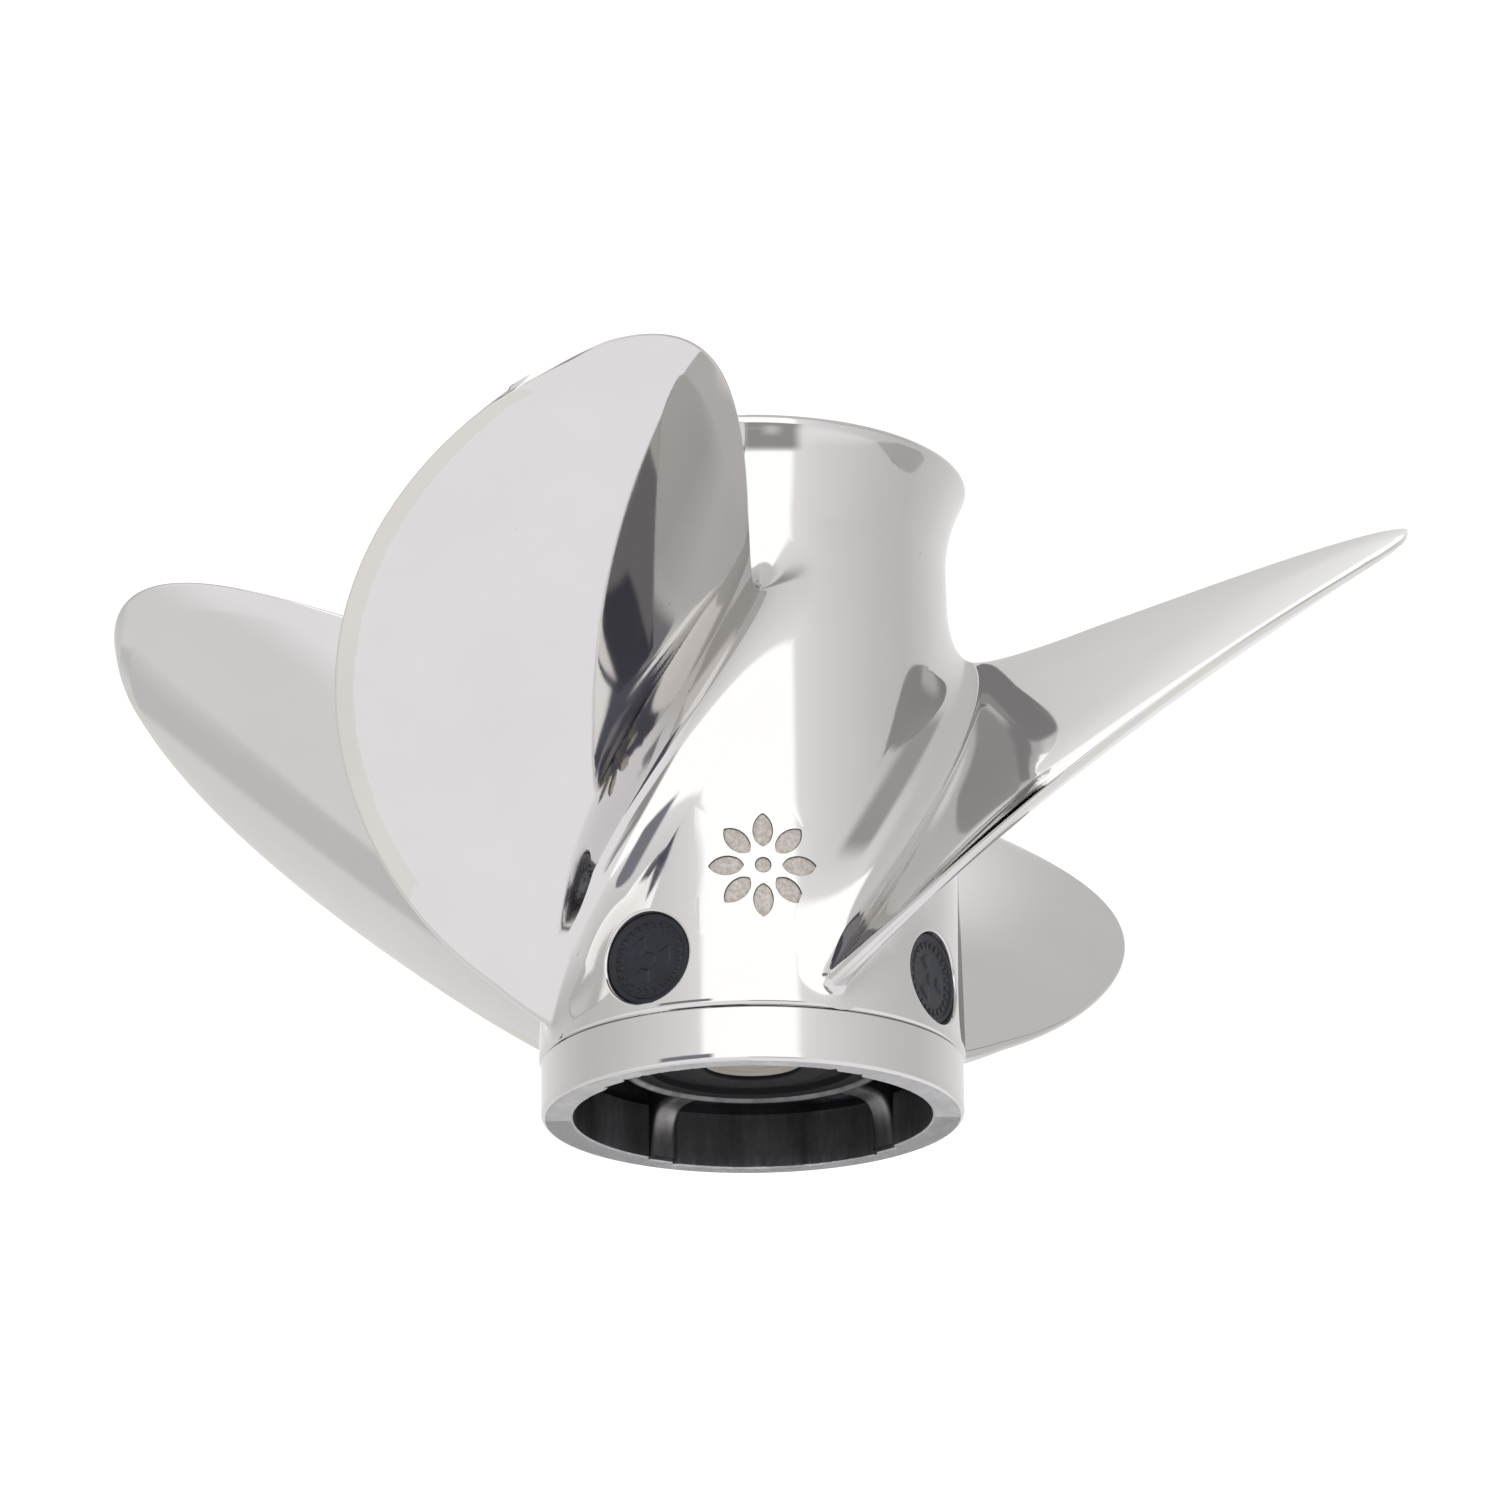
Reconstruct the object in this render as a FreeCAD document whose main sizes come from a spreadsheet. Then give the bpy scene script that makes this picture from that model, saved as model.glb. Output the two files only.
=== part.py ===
import FreeCAD, Part
import math
import os

import Sketcher
from FreeCAD import Vector, Placement, Rotation

# Four-blade through-hub propeller for an outboard gearcase.
# Frame: origin on the shaft axis at the front ring face, +Z runs aft along the shaft,
# azimuths are measured about +Z from -Y towards +X.  All lengths are millimetres.

DIMENSIONS = [
    # barrel (outer hub) and its front ring
    ("barrel_length", 180.0),
    ("ring_radius", 57.0),
    ("ring_bore_radius", 49.6),
    ("ring_height", 15.0),
    ("ring_chamfer", 0.8),
    ("barrel_front_radius", 57.6),
    ("seam_depth", 0.6),
    ("neck_radius", 54.7),
    ("neck_height", 155.0),
    ("flare_arc_radius", 48.0),
    ("flare_angle", 28.6),
    ("lip_thickness", 3.2),
    ("cast_bore_radius", 51.2),
    ("bore_step_height", 18.0),
    # inner hub and the four ribs that carry it
    ("hub_radius", 36.0),
    ("hub_bore_radius", 33.0),
    ("hub_front", 14.0),
    ("hub_back", 132.0),
    ("hub_back_radius", 34.8),
    ("seat_thickness", 6.0),
    ("seat_hole_radius", 24.0),
    ("rib_width", 7.5),
    ("rib_axis_azimuth", -8.0),
    ("rib_half_spread", 38.0),
    ("rib_front", 1.5),
    ("rib_knee_radius", 46.0),
    ("rib_back", 128.0),
    # vent plugs
    ("plug_radius", 12.5),
    ("plug_height", 30.6),
    ("plug_azimuth", -29.5),
    ("plug_face", 54.6),
    ("plug_inner", 47.6),
    ("barb_radius", 13.4),
    ("barb_thickness", 1.6),
    ("plug_rim", 1.4),
    ("plug_dish", 0.6),
    # drive sleeve and splined adapter
    ("sleeve_front", 14.5),
    ("sleeve_recess", 1.6),
    ("lip_hole_radius", 13.5),
    ("adapter_radius", 17.0),
    ("adapter_front", 15.7),
    ("adapter_back", 136.0),
    ("pilot_radius", 13.0),
    ("pilot_depth", 12.0),
    ("spline_minor_radius", 11.4),
    ("spline_major_radius", 12.7),
    ("spline_tooth", 2.4),
    ("spline_count", 15),
    # blades: span runs from the barrel to the tip circle
    ("blade_count", 4),
    ("root_radius", 57.5),
    ("tip_radius", 185.7),
    ("root_mid_azimuth", -34.4),
    ("skew_linear", 12.4),
    ("skew_tip", 3.1),
    ("root_mid_height", 72.7),
    ("rake_linear", 37.0),
    ("rake_progressive", 31.6),
    ("root_half_angle", 35.2),
    ("chord_taper", 0.36),
    ("chord_recover", 0.14),
    ("tip_fullness", 3.0),
    ("pitch_root", 538.0),
    ("pitch_rise", 224.0),
    ("pitch_fall", 147.0),
    ("camber_tip", 12.9),
    ("thickness_root", 9.5),
    ("thickness_tip", 3.0),
    ("edge_thickness", 1.8),
    ("root_flare", 5.0),
    ("heel_sweep", 7.0),
    ("heel_decay", 4.5),
    # engraved ornament on the barrel: leaves about a centre dot
    ("leaf_count", 8),
    ("leaf_reach", 9.75),
    ("leaf_disc_radius", 5.38),
    ("leaf_disc_offset", 2.53),
    ("dot_radius", 2.0),
    ("ornament_height", 53.8),
    ("ornament_azimuth", 3.4),
    ("ornament_depth", 0.6),
]

doc = FreeCAD.newDocument("propeller")
sheet = doc.addObject("Spreadsheet::Sheet", "sizes")
for row, (name, value) in enumerate(DIMENSIONS, start=1):
    sheet.set("A%d" % row, name)
    sheet.set("B%d" % row, str(value))
    sheet.setAlias("B%d" % row, name)
doc.recompute()


def dim(name):
    return float(sheet.get(name))


def polar(radius, azimuth, height):
    """A point at an azimuth measured from -Y towards +X."""
    a = math.radians(azimuth)
    return Vector(radius * math.sin(a), -radius * math.cos(a), height)


def plane_of(body, role):
    for item in body.Origin.OriginFeatures:
        if item.Role == role:
            return item
    raise ValueError(role)


def new_body(name, label=None):
    body = doc.addObject("PartDesign::Body", name)
    body.Label = label or name
    return body


def new_sketch(body, name, role):
    sketch = body.newObject("Sketcher::SketchObject", name)
    sketch.AttachmentSupport = (plane_of(body, role), [""])
    sketch.MapMode = "FlatFace"
    return sketch


def line(x1, y1, x2, y2):
    return Part.LineSegment(Vector(x1, y1, 0), Vector(x2, y2, 0))


def closed_outline(sketch, items):
    """Adds a closed chain of segments; items hold points and through-points of arcs."""
    geometry = []
    count = len(items)
    for k in range(count):
        start = items[k]["at"]
        end = items[(k + 1) % count]["at"]
        through = items[k].get("via")
        if through:
            arc = Part.Arc(Vector(start[0], start[1], 0),
                           Vector(through[0], through[1], 0),
                           Vector(end[0], end[1], 0))
            geometry.append(arc)
        else:
            geometry.append(line(start[0], start[1], end[0], end[1]))
    sketch.addGeometry(geometry, False)


def bind_point(sketch, geo, pos, expr_x=None, expr_y=None):
    """Ties one end point of a segment to sheet values by signed distances to the axes."""
    if expr_x:
        point = sketch.getPoint(geo, pos)
        c = sketch.addConstraint(Sketcher.Constraint("DistanceX", -1, 1, geo, pos, point.x))
        sketch.setExpression("Constraints[%d]" % c, expr_x)
    if expr_y:
        point = sketch.getPoint(geo, pos)
        c = sketch.addConstraint(Sketcher.Constraint("DistanceY", -1, 1, geo, pos, point.y))
        sketch.setExpression("Constraints[%d]" % c, expr_y)


def chain_outline(sketch, corners):
    """Closed polygon whose every corner is tied to a pair of sheet expressions."""
    points = [(value_of(cx), value_of(cy)) for cx, cy in corners]
    count = len(points)
    geometry = []
    for k in range(count):
        a = points[k]
        b = points[(k + 1) % count]
        geometry.append(line(a[0], a[1], b[0], b[1]))
    sketch.addGeometry(geometry, False)
    for k in range(count):
        sketch.addConstraint(Sketcher.Constraint("Coincident", k, 2, (k + 1) % count, 1))
    for k in range(count):
        bind_point(sketch, k, 1, corners[k][0], corners[k][1])


def value_of(expression):
    """Numeric value of an expression made of sheet entries and plain numbers."""
    return float(sheet.evalExpression(expression))


def revolve_about_z(body, name, sketch):
    turn = body.newObject("PartDesign::Revolution", name)
    turn.Profile = sketch
    turn.ReferenceAxis = (sketch, ["V_Axis"])
    turn.Angle = 360.0
    return turn


# ---------------------------------------------------------------- front ring
def make_front_ring():
    body = new_body("front_ring")
    sketch = new_sketch(body, "front_ring_profile", "XZ_Plane")
    chain_outline(sketch, [
        ("sizes.ring_bore_radius + sizes.ring_chamfer", "0 + 0"),
        ("sizes.ring_radius - sizes.ring_chamfer", "0 + 0"),
        ("sizes.ring_radius", "sizes.ring_chamfer"),
        ("sizes.ring_radius", "sizes.ring_height - sizes.seam_depth"),
        ("sizes.ring_radius - sizes.seam_depth", "sizes.ring_height"),
        ("sizes.ring_bore_radius", "sizes.ring_height"),
        ("sizes.ring_bore_radius", "sizes.ring_chamfer"),
    ])
    revolve_about_z(body, "front_ring_turn", sketch)
    return body


# -------------------------------------------------------------- outer barrel
def flare_point(angle):
    """Point of the flare arc, given as (radius, height), at an angle past the neck."""
    a = math.radians(angle)
    rho = dim("flare_arc_radius")
    radius = dim("neck_radius") + rho * (1.0 - math.cos(a))
    height = dim("neck_height") + rho * math.sin(a)
    return radius, height


def barrel_outline():
    """Corners of half the barrel section, outside first, as (radius, height)."""
    length = dim("barrel_length")
    lip = dim("lip_thickness")
    seam = dim("seam_depth")
    ring_top = dim("ring_height")
    bend = dim("flare_angle")
    lip_radius, lip_start = flare_point(bend)
    mid_radius, mid_height = flare_point(0.5 * bend)
    inner_neck = dim("neck_radius") - lip - 0.5
    inner_lip = lip_radius - lip
    return [
        {"at": (dim("ring_radius") - seam, ring_top)},
        {"at": (dim("barrel_front_radius"), ring_top + 2 * seam)},
        {"at": (dim("neck_radius"), dim("neck_height")), "via": (mid_radius, mid_height)},
        {"at": (lip_radius, lip_start), "via": (lip_radius - 0.35, length - 0.5)},
        {"at": (lip_radius - 1.5, length)},
        {"at": (inner_lip, length)},
        {"at": (inner_neck, dim("neck_height"))},
        {"at": (dim("cast_bore_radius"), dim("bore_step_height"))},
        {"at": (dim("ring_bore_radius"), ring_top)},
    ]


def plug_azimuths():
    step = 360.0 / dim("blade_count")
    return [dim("plug_azimuth") + step * k for k in range(int(dim("blade_count")))]


def leaf_tool(turn):
    """Pointed leaf along a direction in the XZ plane: the overlap of two discs."""
    reach = dim("leaf_reach")
    offset = dim("leaf_disc_offset")
    discs = []
    for side in (-1.0, 1.0):
        x = reach * math.cos(turn) - side * offset * math.sin(turn)
        z = reach * math.sin(turn) + side * offset * math.cos(turn)
        discs.append(Part.makeCylinder(dim("leaf_disc_radius"), 90.0, Vector(x, 0, z),
                                       Vector(0, -1, 0)))
    return discs[0].common(discs[1])


def ornament_tool():
    """Leaves about a centre dot, cut off at the depth of the engraving."""
    count = int(dim("leaf_count"))
    leaves = [leaf_tool(2.0 * math.pi * k / count) for k in range(count)]
    dot = Part.makeCylinder(dim("dot_radius"), 90.0, Vector(0, 0, 0), Vector(0, -1, 0))
    figure = dot.multiFuse(leaves)
    centre_height = dim("ornament_height")
    figure.translate(Vector(0, 0, centre_height))
    skin = radius_at(centre_height)
    inner = Part.makeCylinder(skin - dim("ornament_depth"), 60.0,
                              Vector(0, 0, centre_height - 30.0), Vector(0, 0, 1))
    tool = figure.cut(inner)
    tool.rotate(Vector(0, 0, 0), Vector(0, 0, 1), dim("ornament_azimuth"))
    return tool


def radius_at(height):
    """Outside radius of the straight cone of the barrel at a height."""
    low = dim("ring_height") + 2 * dim("seam_depth")
    part = (height - low) / (dim("neck_height") - low)
    return dim("barrel_front_radius") + part * (dim("neck_radius") - dim("barrel_front_radius"))


def make_barrel():
    body = new_body("barrel_blank")
    sketch = new_sketch(body, "barrel_profile", "XZ_Plane")
    closed_outline(sketch, barrel_outline())
    revolve_about_z(body, "barrel_turn", sketch)
    doc.recompute()
    before = body.Shape.Volume
    holes = new_sketch(body, "vent_hole_profile", "XZ_Plane")
    holes.addGeometry(Part.Circle(Vector(0, dim("plug_height"), 0), Vector(0, 0, 1),
                                  dim("plug_radius")), False)
    c = holes.addConstraint(Sketcher.Constraint("Radius", 0, dim("plug_radius")))
    holes.setExpression("Constraints[%d]" % c, "sizes.plug_radius")
    c = holes.addConstraint(Sketcher.Constraint("DistanceY", -1, 1, 0, 3, dim("plug_height")))
    holes.setExpression("Constraints[%d]" % c, "sizes.plug_height")
    holes.addConstraint(Sketcher.Constraint("PointOnObject", 0, 3, -2))
    pocket = body.newObject("PartDesign::Pocket", "vent_hole")
    pocket.Profile = holes
    pocket.Type = "Length"
    pocket.Length = 80.0
    pocket.Reversed = False
    doc.recompute()
    if body.Shape.Volume > before - 100.0 or not one_sided(body):
        pocket.Reversed = True
        doc.recompute()
    pattern = body.newObject("PartDesign::PolarPattern", "vent_holes")
    pattern.Originals = [pocket]
    pattern.Axis = (sketch, ["V_Axis"])
    pattern.Angle = 360.0
    body.Tip = pattern
    pattern.setExpression("Occurrences", "sizes.blade_count")
    body.Placement = Placement(Vector(0, 0, 0), Rotation(Vector(0, 0, 1), dim("plug_azimuth")))
    body.setExpression("Placement.Rotation.Angle", "sizes.plug_azimuth * 1deg")
    tool = doc.addObject("Part::Feature", "ornament_tool")
    tool.Shape = ornament_tool()
    barrel = doc.addObject("Part::Cut", "outer_barrel")
    barrel.Base = body
    barrel.Tool = tool
    barrel.Label = "outer_barrel"
    return barrel


def one_sided(body):
    """True when the first vent hole opens towards -Y."""
    probe = Part.makeSphere(1.0, Vector(0, -dim("neck_radius"), dim("plug_height")))
    return body.Shape.common(probe).Volume < 1e-6


# ------------------------------------------------------- inner hub and ribs
def make_inner_hub():
    body = new_body("inner_hub")
    sketch = new_sketch(body, "inner_hub_profile", "XZ_Plane")
    chain_outline(sketch, [
        ("sizes.hub_bore_radius", "sizes.hub_front"),
        ("sizes.hub_radius - 1.2", "sizes.hub_front"),
        ("sizes.hub_radius", "sizes.hub_front + 1.2"),
        ("sizes.hub_back_radius", "sizes.hub_back"),
        ("sizes.seat_hole_radius", "sizes.hub_back"),
        ("sizes.seat_hole_radius", "sizes.hub_back - sizes.seat_thickness"),
        ("sizes.hub_bore_radius", "sizes.hub_back - sizes.seat_thickness"),
    ])
    revolve_about_z(body, "inner_hub_turn", sketch)
    return body


# ribs stand in two pairs, each pair spread about one end of a diameter of the hub
RIB_PLACES = [("+", 0), ("-", 180), ("+", 180), ("-", 0)]


def make_rib(index, fitted_to):
    """One radial rib with a kneed front edge, trimmed to the hub and barrel walls."""
    blank = new_body("rib_blank_%d" % index)
    sketch = new_sketch(blank, "rib_profile_%d" % index, "XZ_Plane")
    chain_outline(sketch, [
        ("sizes.hub_bore_radius + 0.8", "sizes.hub_front + 1.5"),
        ("sizes.rib_knee_radius", "sizes.hub_front"),
        ("sizes.ring_bore_radius - 1.2", "sizes.rib_front"),
        ("sizes.ring_bore_radius + 1.2", "sizes.rib_front"),
        ("sizes.cast_bore_radius + 1.2", "sizes.rib_back - 8"),
        ("sizes.hub_bore_radius + 0.8", "sizes.rib_back"),
    ])
    pad = blank.newObject("PartDesign::Pad", "rib_pad_%d" % index)
    pad.Profile = sketch
    pad.Midplane = True
    pad.setExpression("Length", "sizes.rib_width")
    rib = doc.addObject("Part::Cut", "rib_%d" % index)
    turn = "(sizes.rib_axis_azimuth %s sizes.rib_half_spread + %d - 90) * 1deg"
    turn = turn % RIB_PLACES[index - 1]
    blank.Placement = Placement(Vector(0, 0, 0), Rotation(Vector(0, 0, 1), 10))
    blank.setExpression("Placement.Rotation.Angle", turn)
    rib.Base = blank
    rib.Tool = fitted_to
    rib.Label = "rib_%d" % index
    return rib


# ----------------------------------------------------------------- vent plug
def make_plug(index):
    """A snap-in cap: dished face, body in the wall and a barb inside the wall."""
    body = new_body("vent_plug_%d" % index)
    sketch = new_sketch(body, "plug_profile_%d" % index, "XZ_Plane")
    chain_outline(sketch, [
        ("0 + 0", "sizes.plug_inner"),
        ("sizes.barb_radius - 1", "sizes.plug_inner"),
        ("sizes.barb_radius", "sizes.plug_inner + sizes.barb_thickness - 0.6"),
        ("sizes.barb_radius", "sizes.plug_inner + sizes.barb_thickness"),
        ("sizes.plug_radius", "sizes.plug_inner + sizes.barb_thickness"),
        ("sizes.plug_radius", "sizes.plug_face - 0.5"),
        ("sizes.plug_radius - 0.5", "sizes.plug_face"),
        ("sizes.plug_radius - 0.5 - sizes.plug_rim", "sizes.plug_face"),
        ("sizes.plug_radius - 1 - sizes.plug_rim", "sizes.plug_face - sizes.plug_dish"),
        ("0 + 0", "sizes.plug_face - sizes.plug_dish"),
    ])
    revolve_about_z(body, "plug_turn_%d" % index, sketch)
    azimuth = plug_azimuths()[index - 1]
    tilt = Rotation(Vector(1, 0, 0), 90.0)
    turn = Rotation(Vector(0, 0, 1), azimuth)
    body.Placement = Placement(Vector(0, 0, dim("plug_height")), turn.multiply(tilt))
    body.setExpression("Placement.Base.z", "sizes.plug_height")
    return body


# ------------------------------------------------ drive sleeve and adapter
def make_drive_sleeve():
    """Tube round the adapter, with a front lip that covers the adapter's front face."""
    body = new_body("drive_sleeve")
    sketch = new_sketch(body, "drive_sleeve_profile", "XZ_Plane")
    chain_outline(sketch, [
        ("sizes.adapter_radius", "sizes.adapter_front"),
        ("sizes.lip_hole_radius", "sizes.adapter_front"),
        ("sizes.lip_hole_radius", "sizes.sleeve_front"),
        ("sizes.adapter_radius + 3", "sizes.sleeve_front"),
        ("sizes.adapter_radius + 4", "sizes.sleeve_front + sizes.sleeve_recess"),
        ("sizes.hub_bore_radius - 5", "sizes.sleeve_front + sizes.sleeve_recess"),
        ("sizes.hub_bore_radius - 4", "sizes.sleeve_front"),
        ("sizes.hub_bore_radius", "sizes.sleeve_front"),
        ("sizes.hub_bore_radius", "sizes.hub_back - sizes.seat_thickness"),
        ("sizes.adapter_radius", "sizes.hub_back - sizes.seat_thickness"),
    ])
    revolve_about_z(body, "drive_sleeve_turn", sketch)
    return body


def make_adapter():
    body = new_body("spline_adapter")
    sketch = new_sketch(body, "adapter_profile", "XZ_Plane")
    chain_outline(sketch, [
        ("sizes.spline_minor_radius", "sizes.adapter_front + sizes.pilot_depth + 2"),
        ("sizes.pilot_radius", "sizes.adapter_front + sizes.pilot_depth"),
        ("sizes.pilot_radius", "sizes.adapter_front"),
        ("sizes.adapter_radius - 0.8", "sizes.adapter_front"),
        ("sizes.adapter_radius", "sizes.adapter_front + 0.8"),
        ("sizes.adapter_radius", "sizes.adapter_back - 0.8"),
        ("sizes.adapter_radius - 0.8", "sizes.adapter_back"),
        ("sizes.spline_minor_radius", "sizes.adapter_back"),
    ])
    revolve_about_z(body, "adapter_turn", sketch)
    groove = new_sketch(body, "spline_groove_profile", "XY_Plane")
    chain_outline(groove, [
        ("sizes.spline_minor_radius - 1", "0 - sizes.spline_tooth / 2"),
        ("sizes.spline_major_radius", "0 - sizes.spline_tooth / 2"),
        ("sizes.spline_major_radius", "sizes.spline_tooth / 2"),
        ("sizes.spline_minor_radius - 1", "sizes.spline_tooth / 2"),
    ])
    doc.recompute()
    pocket = body.newObject("PartDesign::Pocket", "spline_groove")
    pocket.Profile = groove
    pocket.Type = "ThroughAll"
    pocket.Midplane = True
    pattern = body.newObject("PartDesign::PolarPattern", "spline_grooves")
    pattern.Originals = [pocket]
    pattern.Axis = (groove, ["N_Axis"])
    pattern.Angle = 360.0
    body.Tip = pattern
    pattern.setExpression("Occurrences", "sizes.spline_count")
    return body


# -------------------------------------------------------------------- blades
def blade_laws(radius):
    """Mid-chord azimuth, mid-chord height, half angle, lead per radian, camber."""
    span = dim("tip_radius") - dim("root_radius")
    s = (radius - dim("root_radius")) / span
    u = min(max(s, 0.0), 1.0)
    azimuth = math.radians(dim("root_mid_azimuth") + dim("skew_linear") * u
                           + dim("skew_tip") * u ** 3)
    height = dim("root_mid_height") + dim("rake_linear") * s + dim("rake_progressive") * u * u
    half = math.radians(dim("root_half_angle"))
    half *= 1.0 - dim("chord_taper") * u + dim("chord_recover") * u ** 3
    half *= math.sqrt(max(1.0 - u ** dim("tip_fullness"), 0.0))
    pitch = dim("pitch_root") + dim("pitch_rise") * u - dim("pitch_fall") * u * u
    lead = pitch / (2.0 * math.pi)
    camber = dim("camber_tip") * u ** 1.5
    return azimuth, height, half, lead, camber


def heel_angle(radius):
    """Extra angle of the trailing edge where it sweeps into the barrel."""
    above = max(radius - dim("root_radius"), 0.0)
    return dim("heel_sweep") * math.exp(-above / dim("heel_decay")) / radius


def blade_height(radius, azimuth):
    mid, height, half, lead, camber = blade_laws(radius)
    t = azimuth - mid
    return height + lead * t + camber * t * t


def blade_thickness(radius, azimuth):
    span = dim("tip_radius") - dim("root_radius")
    u = min(max((radius - dim("root_radius")) / span, 0.0), 1.0)
    mid, height, half, lead, camber = blade_laws(radius)
    reach = half + (heel_angle(radius) if azimuth > mid else 0.0)
    v = min(abs(azimuth - mid) / max(reach, 1e-6), 1.0)
    body = dim("thickness_tip") + (dim("thickness_root") - dim("thickness_tip")) * (1.0 - u) ** 1.5
    flare = dim("root_flare") * math.exp(-max(radius - dim("root_radius"), 0.0) / 5.0)
    edge = dim("edge_thickness")
    return edge + (body - edge) * (1.0 - v * v) ** 0.75 + flare


def chord_limit(span_at, reference, side):
    """Sideways reach of the blade edge on the plane at a spanwise distance."""
    def inside(across):
        radius = math.hypot(span_at, across)
        azimuth = reference + math.atan2(across, span_at)
        mid, height, half, lead, camber = blade_laws(radius)
        reach = half + (heel_angle(radius) if azimuth > mid else 0.0)
        return radius < dim("tip_radius") and abs(azimuth - mid) <= reach
    best = None
    steps = 400
    for k in range(-steps, steps + 1):
        across = k * 170.0 / steps
        if inside(across):
            if best is None or side * across > side * best:
                best = across
    low = best
    high = best + side * 170.0 / steps
    for _ in range(30):
        middle = 0.5 * (low + high)
        if inside(middle):
            low = middle
        else:
            high = middle
    return low


def blade_section(span_at, reference):
    """Planar section wire of the blade, in blade axes (span, across, height)."""
    first = chord_limit(span_at, reference, -1.0)
    last = chord_limit(span_at, reference, 1.0)
    count = 25
    middle = []
    for k in range(count):
        w = 0.5 - 0.5 * math.cos(math.pi * k / (count - 1))
        across = first + (last - first) * w
        radius = math.hypot(span_at, across)
        azimuth = reference + math.atan2(across, span_at)
        middle.append((across, blade_height(radius, azimuth), blade_thickness(radius, azimuth)))
    fore = []
    aft = []
    for k in range(count):
        a = middle[max(k - 1, 0)]
        b = middle[min(k + 1, count - 1)]
        da = b[0] - a[0]
        dz = b[1] - a[1]
        size = math.hypot(da, dz)
        half = 0.5 * middle[k][2]
        na = -dz / size * half
        nz = da / size * half
        fore.append(Vector(span_at, middle[k][0] - na, middle[k][1] - nz))
        aft.append(Vector(span_at, middle[k][0] + na, middle[k][1] + nz))
    front = Part.BSplineCurve()
    front.interpolate(fore)
    rear = Part.BSplineCurve()
    rear.interpolate(list(reversed(aft)))
    edges = [front.toShape(),
             Part.LineSegment(fore[-1], aft[-1]).toShape(),
             rear.toShape(),
             Part.LineSegment(aft[0], fore[0]).toShape()]
    return Part.Wire(edges)


def blade_solid():
    """One blade in blade axes, from inside the barrel to just short of the tip circle."""
    reference = math.radians(dim("root_mid_azimuth") + 10.0)
    reach = dim("tip_radius")
    stations = [36.0, 44.0, 50.0, 56.0, 62.0, 70.0, 82.0, 96.0, 112.0, 128.0, 142.0, 154.0,
                164.0, 172.0, 178.0, 182.0, 184.6]
    wires = [blade_section(x * reach / 185.7, reference) for x in stations]
    loft = Part.makeLoft(wires, True, False)
    matrix_turn = math.degrees(reference) - 90.0
    loft.rotate(Vector(0, 0, 0), Vector(0, 0, 1), matrix_turn)
    return loft


def barrel_core():
    """Solid of the barrel outside, used to trim the blade roots."""
    corners = barrel_outline()
    low = dim("ring_height") - 5.0
    face_points = [Vector(0, 0, low), Vector(dim("barrel_front_radius"), 0, low),
                   Vector(dim("barrel_front_radius"), 0, dim("ring_height") + 2 * dim("seam_depth"))]
    neck = Vector(dim("neck_radius"), 0, dim("neck_height"))
    edges = [Part.makeLine(face_points[0], face_points[1]),
             Part.makeLine(face_points[1], face_points[2]),
             Part.makeLine(face_points[2], neck),
             Part.makeLine(neck, Vector(0, 0, dim("neck_height"))),
             Part.makeLine(Vector(0, 0, dim("neck_height")), face_points[0])]
    face = Part.Face(Part.Wire(edges))
    return face.revolve(Vector(0, 0, 0), Vector(0, 0, 1), 360.0)


def make_blades():
    trimmed = blade_solid().cut(barrel_core())
    piece = max(trimmed.Solids, key=lambda item: item.Volume)
    blades = []
    step = 360.0 / dim("blade_count")
    for k in range(int(dim("blade_count"))):
        blade = doc.addObject("Part::Feature", "blade_%d" % (k + 1))
        blade.Shape = piece
        blade.Label = "blade_%d" % (k + 1)
        blade.Placement = Placement(Vector(0, 0, 0), Rotation(Vector(0, 0, 1), step * k))
        blades.append(blade)
    return blades


# ------------------------------------------------------------------ assembly
def build():
    ring = make_front_ring()
    barrel = make_barrel()
    hub = make_inner_hub()
    walls = doc.addObject("Part::Compound", "walls")
    walls.Links = [ring, barrel, hub]
    pieces = [ring, barrel, hub]
    pieces += [make_rib(k, walls) for k in range(1, 5)]
    pieces += make_blades()
    pieces += [make_plug(k) for k in range(1, 5)]
    pieces += [make_drive_sleeve(), make_adapter()]
    doc.recompute()
    return pieces


def check(pieces):
    for item in doc.Objects:
        for state in item.State:
            if state in ("Invalid", "Error"):
                raise RuntimeError("%s is %s" % (item.Name, state))
    for item in pieces:
        shape = item.Shape
        if shape.isNull() or not shape.isValid() or len(shape.Solids) != 1:
            raise RuntimeError("%s: null, invalid or not one solid (%d)"
                               % (item.Label, len(shape.Solids)))


def write(pieces):
    os.makedirs("parts", exist_ok=True)
    for item in pieces:
        item.Shape.exportStep("parts/%s.step" % item.Label)
        box = item.Shape.BoundBox
        print("%-16s volume %9.0f  z %6.1f..%6.1f" % (item.Label, item.Shape.Volume,
                                                      box.ZMin, box.ZMax))


all_pieces = build()
check(all_pieces)
write(all_pieces)
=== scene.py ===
import math

import bpy
import numpy as np
from mathutils import Matrix, Vector


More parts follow.
